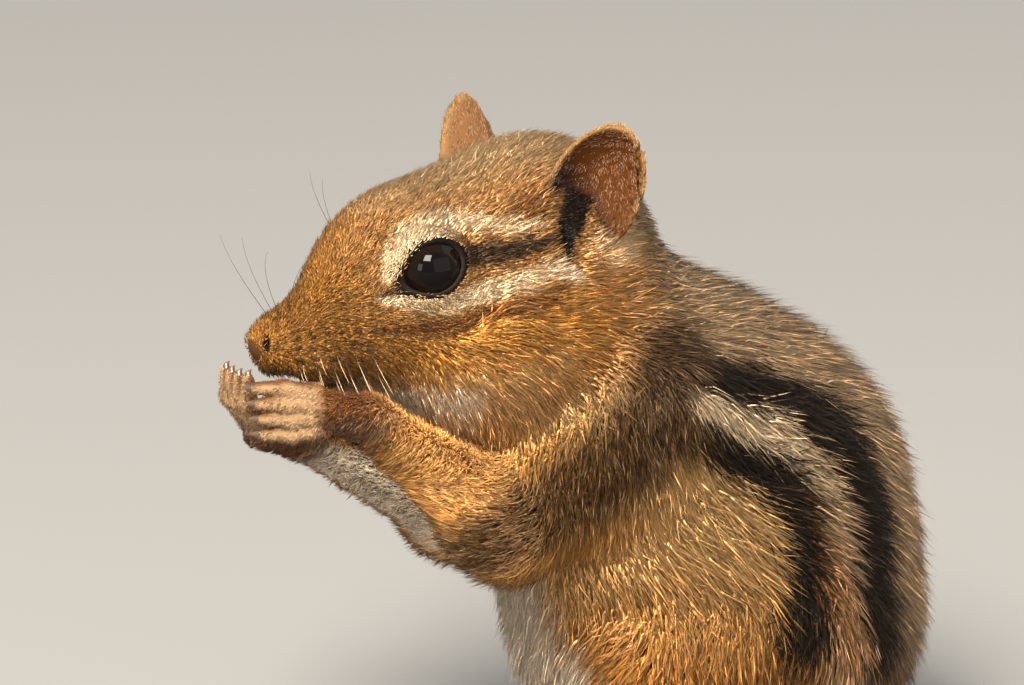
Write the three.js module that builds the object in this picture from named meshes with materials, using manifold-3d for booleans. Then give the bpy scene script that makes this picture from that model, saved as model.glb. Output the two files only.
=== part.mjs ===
// A chipmunk sitting up on its haunches with both hands held at its mouth, at life size in millimetres.
// It faces -X with its left side towards -Y, and it sits on the plane z = 0.
// The outside of every piece is the outside of the coat, out to the tips of the hair.
import * as THREE from "three";
import { mergeVertices } from "three/addons/utils/BufferGeometryUtils.js";
import Module from "manifold-3d";

const wasm = await Module();
wasm.setup();

// Driving dimensions, in millimetres and degrees. LEFT and RIGHT are the signs of the head's outward axis.
const LEFT = 1;
const RIGHT = -1;
const GAP = 0.3; // clear width of each parting cut
const FACET = { trunk: 5.2, thigh: 4.4, neck: 3.8, head: 2.95, upperArm: 3.6, room: 3 }; // cells of the nets

// Masses of the head, in its own axes: forward to the nose, out to the left, up through the crown
const HEAD = { centre: [-8.4, -2, 61], yaw: 21, pitch: 9, roll: 3.5 };
const CRANIUM = { at: [0, 0, 0], radii: [13, 11.6, 12.2], blend: 4 };
const BROW = { at: [12, 0, 1.6], radii: [13, 9, 9.5], blend: 5 };
const MUZZLE = { from: [14, 0, -1.2], to: [29.4, 0, -2.2], radii: [8.5, 4.1], blend: 4 };
const JAW = { from: [12, 0, -8], to: [24, 0, -6.6], radii: [5.5, 2.8], blend: 3 };
const CHEEK = { at: [7, 4.6, -8.6], radii: [11.5, 9, 9.8], blend: 5 };
const WHISKER_PAD = { at: [26.6, 2.4, -3.8], radii: [4.4, 2.9, 3], blend: 2 };
const EYE = { at: [14.7, 7.1, 3.25], radius: 3.6 };
const EAR_ROOTS = { left: [-1.4, 9.2, 2.4], right: [1.5, 9.2, 2.4] };
const EAR_TIPS = { left: [-6.6, 13.4, 12.8], right: [-2.5, 13.2, 13.2] };
const EAR_FACES = { left: [0.62, 0.78, -0.1], right: [0.5, 0.86, -0.1] }; // the ways that the cups open
const EAR = { middle: 5.6, halfWidth: 4.7, halfHeight: 7.3, cup: 2.6, sides: 14 };
const EAR_RINGS = [0.25, 0.6, 1]; // shares of the way out to the rim
const EAR_THICKNESS = { middle: 1, rim: 0.7 };

// Masses of the trunk and the hind legs, in world axes, with the left one of each pair given
const RUMP = { at: [14.6, 0, 20.6], radii: [20.2, 18.2, 21], blend: 4 };
const LOIN = { at: [12, 0, 33], radii: [20.8, 17.6, 20.6], blend: 6 };
const SHOULDERS = { at: [4.6, 0, 39.3], radii: [18.4, 15, 17.6], blend: 6 };
const CHEST = { at: [-5, 0, 38], radii: [13.5, 12.5, 14], blend: 6 };
const BELLY = { at: [3, 0, 22], radii: [13.5, 14.5, 17], blend: 6 };
const THIGH = { from: [20, -9, 20], to: [4, -12.8, 17.5], radii: [11.2, 8.4], blend: 4 };
const SHANK = { from: [4.5, -13.5, 13], to: [19, -14, 6.5], radii: [6, 4.2], blend: 4 };
const NECK = { foot: [1, -0.3, 46.5], head: [-3, 0, -3.6], radii: [13.5, 10.6], blend: 7 };
const THROAT = { foot: [-4, -1, 42], head: [3, 0, -8], radii: [11.5, 10], blend: 6 };
const FOOT = { heel: [21, -14, 3.8], ball: [-1, -16.5, 2.8], radii: [4, 3.3], sides: 12 };
const TOE = { radii: [1.7, 1.15], spacing: 1.7, gather: 0.6, splay: 1.25, lengths: [7.5, 10, 11, 10.5, 8] };

// Fore limbs: the shoulders and elbows in world axes, the hands in the head's, because they are at the mouth
const ARM = { upper: [7.5, 6.2], fore: [5.6, 2.6] };
const ARM_BLEND = { joint: 4, shoulder: 6, loss: 0.25, least: 0.3 }; // widths, and their loss per millimetre
const SHOULDER = { left: [2, -10, 43], right: [1, 10, 42] };
const ELBOW = { left: [-12, -14, 34.5], right: [-13.8, 9.5, 30.3] };
const WRIST = { left: [24.4, 6.9, -10.5], right: [26.4, -6.2, -14] };
const PALM = { left: [28.4, 5.9, -8.7], right: [31.3, -5, -11.9], radii: [2.4, 2.4], sides: 10 };
// The ways that the fingers point, that the back of the hand faces, and that the fingers curl
const HAND_AXES = {
  left: { reach: [0.95, -0.22, 0.23], back: [0, 1, 0], across: [0, 0, 1], curl: [0.5, -1, 0] },
  right: { reach: [0.42, 0.1, 0.9], back: [0.9, 0, -0.42], across: [0, -1, 0], curl: [-0.4, 0.3, 0.85] },
};
const FINGER = { radii: [1.15, 1.05, 0.85], lengths: [3.6, 3.2], bend: 0.5, arch: 1.1 };
const FINGER_PLACES = [-1.5, -0.5, 0.5, 1.5]; // across the hand
const FINGER_SPREAD = { knuckles: 1.3, joints: 0.4 }; // spacing at the knuckles, and what joints add
const ARCH_SHARES = { knuckle: 0.45, joint: 0.25 }; // how much of the arch the back of the hand has at each
const DIGIT_SIDES = 6;
const CLAW = { radius: 0.45, finger: 1.4, toe: 2.4, hook: 0.6, toeHook: 0.25, sides: 6 };

// The tail leaves the rump straight back and curls round to the left along the floor
const TAIL_COURSE = [
  [24, 0, 5.2],
  [38, -3.5, 4.9],
  [61, -18.5, 4.7],
  [77, -41, 4.7],
  [81.5, -61, 4.3],
  [80, -74, 3.4],
];
const TAIL = { halfWidth: 7.2, tipRatio: 0.55, tipLength: 5, flatness: 1.5, rings: 16, sides: 12, blend: 4 };
const TAIL_CUTS = [0.11, 0.42, 0.72];
const TAIL_NARROWS_FROM = 0.75; // a share of the tail's length
const TAIL_TIP_ANGLES = [40, 75];

// Where the limbs part from the trunk: ovals round the thigh and the upper arm, and planes across the forearm
const THIGH_OVAL = { at: [12.5, -20, 17.5], axis: [1, 0, 0.12], radii: [20, 15.5, 11] };
const UPPER_ARM_OVAL = { outward: 1.5, radii: [17.5, 9.5, 9] };
const FOREARM = { start: 2.5, end: -0.8, sleeve: [6.7, 4.5], sides: 12 };

const point = ([x, y, z]) => new THREE.Vector3(x, y, z);
const unit = (xyz) => point(xyz).normalize();
const radians = THREE.MathUtils.degToRad;

function turnedBy(axis, degrees) {
  return new THREE.Quaternion().setFromAxisAngle(point(axis), radians(degrees));
}

const WORLD_AXES = [point([1, 0, 0]), point([0, 1, 0]), point([0, 0, 1])];
const headPose = turnedBy([0, 0, 1], HEAD.yaw)
  .multiply(turnedBy([0, -1, 0], HEAD.pitch))
  .multiply(turnedBy([-1, 0, 0], HEAD.roll));
const HEAD_AXES = [[-1, 0, 0], [0, -1, 0], [0, 0, 1]].map((axis) => point(axis).applyQuaternion(headPose));

function along(axes, [a, b, c]) {
  return point([0, 0, 0]).addScaledVector(axes[0], a).addScaledVector(axes[1], b).addScaledVector(axes[2], c);
}

const headPoint = (place) => along(HEAD_AXES, place).add(point(HEAD.centre));
const headWay = (way) => along(HEAD_AXES, way).normalize();
const sideWord = (side) => (side === LEFT ? "left" : "right");
const paired = (place, side) => [place[0], place[1] * side, place[2]];

// Fields: each gives the distance from a place to a surface, negative inside it
function ellipsoid(centre, [rx, ry, rz], axes) {
  return (p) => {
    const offset = p.clone().sub(centre);
    const [a, b, c] = axes.map((axis) => offset.dot(axis));
    const scaled = Math.hypot(a / rx, b / ry, c / rz);
    const slope = Math.hypot(a / rx ** 2, b / ry ** 2, c / rz ** 2);
    return slope > 0 ? (scaled * (scaled - 1)) / slope : -Math.min(rx, ry, rz);
  };
}

function limb(from, to, [fromRadius, toRadius], flatness = 1) {
  const axis = to.clone().sub(from);
  return (p) => {
    const offset = p.clone().sub(from);
    const t = THREE.MathUtils.clamp(offset.dot(axis) / axis.lengthSq(), 0, 1);
    offset.addScaledVector(axis, -t);
    offset.z *= flatness;
    return (offset.length() - THREE.MathUtils.lerp(fromRadius, toRadius, t)) / flatness;
  };
}

function blended(a, b, width) {
  const overlap = Math.max(width - Math.abs(a - b), 0) / width;
  return Math.min(a, b) - (overlap ** 2 * width) / 4;
}

const grown = (field, by) => (p) => field(p) - by;

// Runs masses together in turn, each with the width of its own blend
function flesh(masses) {
  return (p) => masses.reduce((sum, { field, blend }) => blended(sum, field(p), blend), Infinity);
}

function headMass({ at, from, to, radii, blend }, side = LEFT) {
  const field = at
    ? ellipsoid(headPoint(paired(at, side)), radii, HEAD_AXES)
    : limb(headPoint(from), headPoint(to), radii);
  return { field, blend };
}

function bodyMass({ at, from, to, radii, blend }, side = LEFT) {
  const field = at
    ? ellipsoid(point(at), radii, WORLD_AXES)
    : limb(point(paired(from, side)), point(paired(to, side)), radii);
  return { field, blend };
}

function neckMass({ foot, head, radii, blend }) {
  return { field: limb(point(foot), headPoint(head), radii), blend };
}

const torso = flesh([
  ...[RUMP, LOIN, SHOULDERS, CHEST, BELLY].map((mass) => bodyMass(mass)),
  ...[LEFT, RIGHT].flatMap((side) => [bodyMass(THIGH, side), bodyMass(SHANK, side)]),
  ...[NECK, THROAT].map(neckMass),
  ...[CRANIUM, BROW, MUZZLE, JAW].map((mass) => headMass(mass)),
  ...[LEFT, RIGHT].flatMap((side) => [headMass(CHEEK, side), headMass(WHISKER_PAD, side)]),
]);
const tailCourse = new THREE.CatmullRomCurve3(TAIL_COURSE.map(point));
const [tailStart, tailQuarter] = [0, 0.25].map((t) => tailCourse.getPointAt(t));
const tailRoot = limb(tailStart, tailQuarter, [TAIL.halfWidth, TAIL.halfWidth], TAIL.flatness);
const torsoAndTail = (p) => blended(torso(p), tailRoot(p), TAIL.blend);

// Solids: closed meshes that can be joined and cut
function solidFrom(geometry) {
  const bare = geometry.clone();
  bare.deleteAttribute("normal");
  bare.deleteAttribute("uv");
  const merged = mergeVertices(bare, 1e-4);
  return new wasm.Manifold(
    new wasm.Mesh({
      numProp: 3,
      vertProperties: new Float32Array(merged.attributes.position.array),
      triVerts: new Uint32Array(merged.index.array),
    }),
  );
}

function solidOf(places, indices) {
  const geometry = new THREE.BufferGeometry().setFromPoints(places);
  geometry.setIndex(indices);
  return solidFrom(geometry);
}

const joined = (solids) => solids.reduce((sum, solid) => sum.add(solid));

// Moves a place near the surface of a field onto it, unless that would take it out of reach
function settled(start, field, reach) {
  const step = reach / 10;
  const place = start.clone();
  for (let pass = 0; pass < 3; pass += 1) {
    const value = field(place);
    const rises = WORLD_AXES.map((axis) => (field(place.clone().addScaledVector(axis, step)) - value) / step);
    const slope = point(rises);
    place.addScaledVector(slope, -value / Math.max(slope.lengthSq(), 0.2));
  }
  return place.distanceTo(start) < reach ? place : start;
}

// The corners of a cell and its twelve edges
const CORNERS = Array.from({ length: 8 }, (_, n) => [n & 1, (n >> 1) & 1, n >> 2]);
const EDGES = CORNERS.flatMap((a, n) => CORNERS.slice(n + 1)
  .filter((b) => a.filter((value, axis) => value !== b[axis]).length === 1)
  .map((b) => [a, b]));

// The surface of a field inside a box, as a net with one vertex in each cell that the surface crosses
function netOf(field, low, high, cell) {
  const counts = point(high).sub(point(low)).divideScalar(cell).ceil().addScalar(1).toArray();
  const slot = (index) => (index[2] * counts[1] + index[1]) * counts[0] + index[0];
  const moved = (index, by) => index.map((n, axis) => n + by[axis]);
  const place = (index) => point(low).addScaledVector(point(index), cell);
  const onBorder = (index) => index.some((n, axis) => n === 0 || n === counts[axis] - 1);
  const eachCell = (visit) => {
    for (let k = 0; k < counts[2] - 1; k += 1) {
      for (let j = 0; j < counts[1] - 1; j += 1) {
        for (let i = 0; i < counts[0] - 1; i += 1) visit([i, j, k]);
      }
    }
  };
  const values = new Float64Array(counts[0] * counts[1] * counts[2]).fill(cell);
  eachCell((index) => {
    if (!onBorder(index)) values[slot(index)] = field(place(index));
  });
  const vertexOf = new Map();
  const vertices = [];
  eachCell((index) => {
    const crossings = EDGES.map((edge) => edge.map((corner) => moved(index, corner)))
      .filter(([a, b]) => values[slot(a)] < 0 !== values[slot(b)] < 0)
      .map(([a, b]) => place(a).lerp(place(b), values[slot(a)] / (values[slot(a)] - values[slot(b)])));
    if (!crossings.length) return;
    const middle = crossings.reduce((sum, crossing) => sum.add(crossing)).divideScalar(crossings.length);
    const inner = CORNERS.every((corner) => !onBorder(moved(index, corner)));
    vertexOf.set(slot(index), vertices.length);
    vertices.push(inner ? settled(middle, field, cell / 2) : middle);
  });
  const indices = [];
  eachCell((index) => {
    const inside = values[slot(index)] < 0;
    for (const axis of [0, 1, 2]) {
      const step = [0, 0, 0];
      step[axis] = 1;
      if (inside === values[slot(moved(index, step))] < 0) continue;
      const ring = [[0, 0], [-1, 0], [-1, -1], [0, -1]].map(([u, v]) => {
        const by = [0, 0, 0];
        by[(axis + 1) % 3] = u;
        by[(axis + 2) % 3] = v;
        return vertexOf.get(slot(moved(index, by)));
      });
      const [a, b, c, d] = inside ? ring : ring.reverse();
      const splitAcross = vertices[a].distanceTo(vertices[c]) < vertices[b].distanceTo(vertices[d]);
      indices.push(...(splitAcross ? [a, b, c, a, c, d] : [a, b, d, b, c, d]));
    }
  });
  return solidOf(vertices, indices);
}

// A closed skin over rings of equal counts, with a hub in the middle of the first ring and of the last
function loft(rings) {
  const count = rings[0].length;
  const hub = (ring) => ring.reduce((sum, place) => sum.add(place), point([0, 0, 0])).divideScalar(count);
  const places = [...rings.flat(), hub(rings[0]), hub(rings.at(-1))];
  const [first, last] = [places.length - 2, places.length - 1];
  const end = (rings.length - 1) * count;
  const indices = [];
  for (let s = 0; s < count; s += 1) {
    const next = (s + 1) % count;
    indices.push(first, next, s, last, end + s, end + next);
    for (let r = 0; r < end; r += count) {
      indices.push(r + s, r + next, r + count + next, r + s, r + count + next, r + count + s);
    }
  }
  return solidOf(places, indices);
}

function ringAround(middle, across, up, count) {
  return Array.from({ length: count }, (_, s) => {
    const angle = (s / count) * 2 * Math.PI;
    return middle.clone().addScaledVector(across, Math.cos(angle)).addScaledVector(up, Math.sin(angle));
  });
}

// A round-ended bar that tapers from joint to joint, with a ring at each joint and one on each end
function bar(joints, radii, sides = DIGIT_SIDES) {
  const last = joints.length - 1;
  const cap = radians(50);
  const ring = (n, angle) => {
    const way = joints[Math.min(n + 1, last)].clone().sub(joints[Math.max(n - 1, 0)]).normalize();
    const across = point(Math.abs(way.z) < 0.9 ? [0, 0, 1] : [1, 0, 0]).cross(way);
    across.setLength(radii[n] * Math.cos(angle));
    const centre = joints[n].clone().addScaledVector(way, radii[n] * Math.sin(angle));
    return ringAround(centre, across, way.clone().cross(across), sides);
  };
  return loft([ring(0, -cap), ...joints.map((_, n) => ring(n, 0)), ring(last, cap)]);
}

// Cutters
const BLOCK = 200; // a cube longer than the animal

function halfSpace(on, normal) {
  const block = new THREE.BoxGeometry(BLOCK, BLOCK, BLOCK).translate(0, 0, BLOCK / 2);
  block.applyQuaternion(new THREE.Quaternion().setFromUnitVectors(point([0, 0, 1]), normal));
  return solidFrom(block.translate(...on.toArray()));
}

// What lies before a plane or behind it, less half of the parting cut
const half = GAP / 2;
const before = ({ on, normal }) => halfSpace(on.clone().addScaledVector(normal, half), normal);
const behind = ({ on, normal }) => before({ on, normal: normal.clone().negate() });

function oval({ centre, axis, radii }, by) {
  const [length, width, depth] = radii.map((radius) => radius + by);
  const side = point([0, 1, 0]).cross(axis).normalize();
  const shape = new THREE.IcosahedronGeometry(1, 3).scale(width, depth, length);
  shape.applyMatrix4(new THREE.Matrix4().makeBasis(side, axis.clone().cross(side), axis));
  return solidFrom(shape.translate(...centre.toArray()));
}

const NAPE = { on: headPoint([-7.5, 0, -7.5]), normal: headWay([1, 0, 1]) };
const WITHERS = { on: point([-1.5, 0, 46.9]), normal: unit([-0.576, 0, 0.818]) };
const TAIL_PLANES = TAIL_CUTS.map((t) => (
  { on: tailCourse.getPointAt(t), normal: tailCourse.getTangentAt(t) }));
const HEAD_BOX = [[-46, -28, 33], [14, 22, 79]];
const NECK_BOX = [[-30, -24, 30], [24, 24, 72]];
const TRUNK_BOX = [[-26, -27, -5], [44, 27, 64]];
const ARM_BOX = { low: [-45, 18], high: [14, 58], margin: 12 };
const THIGH_BOX = { low: [-14, -5], high: [40, 42], outward: 32 };
const aboveFloor = halfSpace(point([0, 0, 0]), point([0, 0, 1]));

function boxBetween({ low, high }, lowY, highY) {
  return [[low[0], lowY, low[1]], [high[0], highY, high[1]]];
}

function thighOval(side) {
  return { centre: point(paired(THIGH_OVAL.at, side)), axis: unit(THIGH_OVAL.axis), radii: THIGH_OVAL.radii };
}

function upperArmOval(side) {
  const [shoulder, elbow] = [SHOULDER, ELBOW].map((joint) => point(joint[sideWord(side)]));
  const centre = shoulder.clone().lerp(elbow, 0.5).add(point([0, -UPPER_ARM_OVAL.outward * side, 0]));
  return { centre, axis: elbow.sub(shoulder).normalize(), radii: UPPER_ARM_OVAL.radii };
}

// Paws: a palm or sole, and digits. Grown ones make room for them in their neighbours.
function handOf(side) {
  const word = sideWord(side);
  const { reach, back, across, curl } = HAND_AXES[word];
  const axes = [reach, back, across].map(headWay);
  const palm = headPoint(PALM[word]);
  const [first, last] = FINGER.lengths;
  const digits = FINGER_PLACES.map((place) => {
    const arch = FINGER.arch * (1 - Math.abs(place) / 3);
    const knuckleRise = [1, arch * ARCH_SHARES.knuckle, place * FINGER_SPREAD.knuckles];
    const knuckle = palm.clone().add(along(axes, knuckleRise));
    const jointRise = [first, arch * ARCH_SHARES.joint, place * FINGER_SPREAD.joints];
    const joint = knuckle.clone().add(along(axes, jointRise));
    const tip = joint.clone()
      .addScaledVector(axes[0], last * (1 - FINGER.bend))
      .addScaledVector(headWay(curl), last * FINGER.bend);
    return { joints: [knuckle, joint, tip], radii: FINGER.radii };
  });
  const base = { joints: [headPoint(WRIST[word]), palm], radii: PALM.radii, sides: PALM.sides };
  return { base, digits, claw: CLAW.finger, hook: headWay(curl).multiplyScalar(CLAW.hook) };
}

function footOf(side) {
  const joints = [FOOT.heel, FOOT.ball].map((joint) => point(paired(joint, side)));
  const [, ball] = joints;
  const [rootRadius, tipRadius] = TOE.radii;
  const digits = TOE.lengths.map((length, i) => {
    const offset = (2 - i) * TOE.spacing * side;
    const root = point([ball.x, ball.y + offset * TOE.gather, rootRadius]);
    const tip = point([ball.x - length, ball.y - side + offset * TOE.splay, tipRadius]);
    return { joints: [root, tip], radii: TOE.radii };
  });
  const base = { joints, radii: FOOT.radii, sides: FOOT.sides };
  return { base, digits, claw: CLAW.toe, hook: point([0, 0, -CLAW.toeHook]) };
}

function barOf({ joints, radii, sides }, by = 0) {
  return bar(joints, radii.map((radius) => radius + by), sides);
}

const pawSolid = ({ base, digits }) => joined([base, ...digits].map((part) => barOf(part)));

function clawSolid({ joints, radii, sides }, { claw, hook }) {
  const [joint, tip] = joints.slice(-2);
  const way = tip.clone().sub(joint).normalize().add(hook).normalize();
  const length = claw + radii.at(-1);
  const cone = new THREE.ConeGeometry(CLAW.radius, length, CLAW.sides);
  cone.applyQuaternion(new THREE.Quaternion().setFromUnitVectors(point([0, 1, 0]), way));
  const middle = tip.clone().addScaledVector(way, length / 2);
  return solidFrom(cone.translate(...middle.toArray())).subtract(barOf({ joints, radii, sides }, GAP));
}

// The ear is a thin cup: its back sheet runs out to the rim, and its front sheet comes back to the middle
function earSolid(side) {
  const [root, tip, face] = [EAR_ROOTS, EAR_TIPS, EAR_FACES]
    .map((places) => point(paired(places[sideWord(side)], side)));
  const up = tip.sub(root).normalize();
  face.addScaledVector(up, -face.dot(up)).normalize();
  const axes = [up.clone().cross(face), up, face];
  const middle = root.addScaledVector(up, EAR.middle);
  const sheetRing = (ratio, facing) => Array.from({ length: EAR.sides }, (_, s) => {
    const angle = (s / EAR.sides) * 2 * Math.PI;
    const x = EAR.halfWidth * ratio * Math.cos(angle);
    const h = EAR.halfHeight * ratio * Math.sin(angle);
    const slope = [x / EAR.halfWidth ** 2, h / EAR.halfHeight ** 2].map((rise) => -2 * EAR.cup * rise);
    const thickness = THREE.MathUtils.lerp(EAR_THICKNESS.middle, EAR_THICKNESS.rim, ratio);
    const local = point([x, h, -EAR.cup * (1 - ratio ** 2)]);
    local.addScaledVector(unit([...slope, 1]), (thickness / 2) * facing);
    return headPoint(along(axes, local.toArray()).add(middle).toArray());
  });
  return loft([
    ...EAR_RINGS.map((ratio) => sheetRing(ratio, -1)),
    ...EAR_RINGS.toReversed().map((ratio) => sheetRing(ratio, 1)),
  ]);
}

function eyeSolid(side, by = 0) {
  const ball = new THREE.IcosahedronGeometry(EYE.radius + by, 2);
  return solidFrom(ball.translate(...headPoint(paired(EYE.at, side)).toArray()));
}

// The tail is a flattened brush that narrows to a round tip
function tailSolid() {
  const rings = Array.from({ length: TAIL.rings + 1 }, (_, n) => {
    const t = n / TAIL.rings;
    const narrowing = THREE.MathUtils.smoothstep(t, TAIL_NARROWS_FROM, 1);
    const halfWidth = THREE.MathUtils.lerp(TAIL.halfWidth, TAIL.halfWidth * TAIL.tipRatio, narrowing);
    const across = point([0, 0, 1]).cross(tailCourse.getTangentAt(t)).setLength(halfWidth);
    return ringAround(tailCourse.getPointAt(t), across, point([0, 0, halfWidth / TAIL.flatness]), TAIL.sides);
  });
  const end = tailCourse.getPointAt(1);
  const tip = TAIL_TIP_ANGLES.map(radians).map((angle) => rings.at(-1).map((place) => end.clone()
    .lerp(place, Math.cos(angle))
    .addScaledVector(tailCourse.getTangentAt(1), TAIL.tipLength * Math.sin(angle))));
  return loft([...rings, ...tip]);
}

// Assembly: each piece is put at its own middle, in a group whose origin is under the middle of the animal
const COAT = { color: 0xa0743f, roughness: 0.9, metalness: 0 };
const SKIN = { color: 0xb98a63, roughness: 0.7, metalness: 0 };
const CORNEA = { color: 0x0c0806, roughness: 0.08, metalness: 0 };
const HORN = { color: 0x4a3b2e, roughness: 0.45, metalness: 0 };
const body = new THREE.Group();

function add(name, solid, look) {
  const mesh = solid.decompose().sort((a, b) => b.volume() - a.volume())[0].getMesh();
  const geometry = new THREE.BufferGeometry();
  geometry.setAttribute("position", new THREE.BufferAttribute(mesh.vertProperties, mesh.numProp));
  geometry.setIndex(new THREE.BufferAttribute(new Uint32Array(mesh.triVerts), 1));
  geometry.computeBoundingBox();
  const middle = geometry.boundingBox.getCenter(point([0, 0, 0]));
  geometry.translate(-middle.x, -middle.y, -middle.z);
  geometry.computeVertexNormals();
  const piece = new THREE.Mesh(geometry, new THREE.MeshStandardMaterial(look));
  piece.name = name;
  piece.position.copy(middle);
  body.add(piece);
}

const armRoom = joined([LEFT, RIGHT].map((side) => oval(upperArmOval(side), half)));
const thighRoom = joined([LEFT, RIGHT].map((side) => oval(thighOval(side), half)));
const footRoom = joined([LEFT, RIGHT].map((side) => barOf(footOf(side).base, GAP)));
const headRoom = netOf(grown(torso, GAP), ...HEAD_BOX, FACET.room);
const eyeRoom = joined([LEFT, RIGHT].map((side) => eyeSolid(side, GAP)));

function addHead() {
  const head = netOf(torso, ...HEAD_BOX, FACET.head).intersect(before(NAPE)).intersect(before(WITHERS));
  add("head", head.subtract(eyeRoom).subtract(armRoom), COAT);
  for (const side of [LEFT, RIGHT]) {
    add(`eye_${sideWord(side)}`, eyeSolid(side), CORNEA);
    add(`ear_${sideWord(side)}`, earSolid(side).subtract(headRoom), SKIN);
  }
}

function addTrunk() {
  const neck = netOf(torso, ...NECK_BOX, FACET.neck);
  add("neck", neck.intersect(behind(NAPE)).intersect(before(WITHERS)).subtract(armRoom), COAT);
  const trunk = netOf(torsoAndTail, ...TRUNK_BOX, FACET.trunk)
    .intersect(behind(WITHERS))
    .intersect(behind(TAIL_PLANES[0]))
    .intersect(aboveFloor);
  add("trunk", trunk.subtract(joined([armRoom, thighRoom, footRoom])), COAT);
}

function addForeLimb(side) {
  const word = sideWord(side);
  const hand = handOf(side);
  const [shoulder, elbow, wrist] = [point(SHOULDER[word]), point(ELBOW[word]), hand.base.joints[0]];
  const normal = wrist.clone().sub(elbow).normalize();
  const elbowPlane = { on: elbow.clone().addScaledVector(normal, FOREARM.start), normal };
  const wristPlane = { on: wrist.clone().addScaledVector(normal, FOREARM.end), normal };
  const chain = flesh([
    { field: limb(shoulder, elbow, ARM.upper), blend: ARM_BLEND.joint },
    { field: limb(elbow, wrist, ARM.fore), blend: ARM_BLEND.joint },
  ]);
  const armed = (p) => {
    const width = Math.max(ARM_BLEND.shoulder - ARM_BLEND.loss * p.distanceTo(shoulder), ARM_BLEND.least);
    return blended(torso(p), chain(p), width);
  };
  const armBox = boxBetween(
    ARM_BOX,
    Math.min(elbow.y, wrist.y) - ARM_BOX.margin,
    Math.max(elbow.y, wrist.y) + ARM_BOX.margin,
  );
  const sleeve = bar([elbow, wrist], FOREARM.sleeve, FOREARM.sides)
    .intersect(halfSpace(elbowPlane.on.clone().addScaledVector(normal, -half), normal));
  add(`upper_arm_${word}`, netOf(armed, ...armBox, FACET.upperArm)
    .intersect(oval(upperArmOval(side), -half))
    .subtract(sleeve), COAT);
  add(`forearm_${word}`, bar([elbow, wrist], ARM.fore, FOREARM.sides)
    .intersect(before(elbowPlane))
    .intersect(behind(wristPlane))
    .subtract(netOf(grown(torso, GAP), ...armBox, FACET.room)), COAT);
  add(`hand_${word}`, pawSolid(hand).intersect(before(wristPlane)).subtract(headRoom), SKIN);
  hand.digits.forEach((digit, i) => add(`finger_claw_${word}_${i + 1}`, clawSolid(digit, hand), HORN));
}

function addHindLimb(side) {
  const word = sideWord(side);
  const foot = footOf(side);
  const outermost = -THIGH_BOX.outward * side;
  const thighBox = boxBetween(THIGH_BOX, Math.min(0, outermost), Math.max(0, outermost));
  add(`thigh_${word}`, netOf(torsoAndTail, ...thighBox, FACET.thigh)
    .intersect(oval(thighOval(side), -half))
    .intersect(aboveFloor)
    .subtract(footRoom), COAT);
  add(`foot_${word}`, pawSolid(foot).intersect(aboveFloor), SKIN);
  foot.digits.forEach((digit, i) => add(`toe_claw_${word}_${i + 1}`, clawSolid(digit, foot), HORN));
}

function addTail() {
  const tail = tailSolid().intersect(aboveFloor);
  const [root, first, second] = TAIL_PLANES;
  add("tail_base", tail.intersect(before(root)).intersect(behind(first)), COAT);
  add("tail_middle", tail.intersect(before(first)).intersect(behind(second)), COAT);
  add("tail_tip", tail.intersect(before(second)), COAT);
}

addHead();
addTrunk();
[LEFT, RIGHT].forEach(addForeLimb);
[LEFT, RIGHT].forEach(addHindLimb);
addTail();

const chipmunk = new THREE.Group();
chipmunk.name = "chipmunk";
const box = new THREE.Box3().setFromObject(body);
body.position.set(-(box.min.x + box.max.x) / 2, -(box.min.y + box.max.y) / 2, -box.min.z);
chipmunk.add(body);

export default chipmunk;
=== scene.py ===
# A chipmunk sitting up with both hands at its mouth: one skin, a coat of tufts on it, eyes, claws and whiskers.
# Shapes are worked out in millimetres, in the body's own axes, and moved into the frame when a mesh is made.
import math
from dataclasses import dataclass

import bpy
import numpy as np
from mathutils import Matrix, Vector, kdtree


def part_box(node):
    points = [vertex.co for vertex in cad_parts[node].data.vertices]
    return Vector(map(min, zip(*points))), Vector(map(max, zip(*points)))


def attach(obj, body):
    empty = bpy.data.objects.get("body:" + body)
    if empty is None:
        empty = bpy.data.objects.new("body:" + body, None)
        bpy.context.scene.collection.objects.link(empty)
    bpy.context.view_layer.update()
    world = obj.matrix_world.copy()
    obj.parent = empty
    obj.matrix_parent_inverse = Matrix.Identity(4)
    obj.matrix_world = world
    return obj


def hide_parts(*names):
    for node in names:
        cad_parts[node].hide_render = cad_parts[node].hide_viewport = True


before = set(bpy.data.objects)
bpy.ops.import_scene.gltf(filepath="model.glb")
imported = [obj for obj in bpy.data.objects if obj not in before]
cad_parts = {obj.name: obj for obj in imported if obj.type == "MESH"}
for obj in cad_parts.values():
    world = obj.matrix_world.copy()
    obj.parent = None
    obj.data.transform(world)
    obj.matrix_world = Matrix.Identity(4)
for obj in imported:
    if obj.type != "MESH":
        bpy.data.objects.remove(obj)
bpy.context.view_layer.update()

MM = 0.001
LEFT, RIGHT = 1, -1
SIDES = {"left": LEFT, "right": RIGHT}


def unit(way):
    way = np.asarray(way, float)
    return way / np.linalg.norm(way, axis=-1, keepdims=True)


def mirrored(place, side):
    return np.array((place[0], place[1] * side, place[2]), float)


def length_of(offsets):
    return np.linalg.norm(offsets, axis=-1)


def along_segment(places, start, stop):
    """How far along a segment each place is, as a share, and its offset from the nearest place on it."""
    way = stop - start
    share = np.clip((places - start) @ way / (way @ way), 0, 1)
    return share, places - start - share[..., None] * way


def ellipsoid(local, radii):
    """How far places are outside an ellipsoid round the origin, nearly right where they are close to it."""
    scaled, slope = length_of(local / radii), length_of(local / radii**2)
    return np.where(slope > 1e-6, scaled * (scaled - 1) / np.maximum(slope, 1e-6), -radii.min())


# The head's pose and its axes: forward to the nose, out to the left, up through the crown
HEAD_CENTRE = np.array((-8.4, -2.0, 61.0))
HEAD_YAW, HEAD_PITCH, HEAD_ROLL = 21, 9, 3.5


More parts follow.
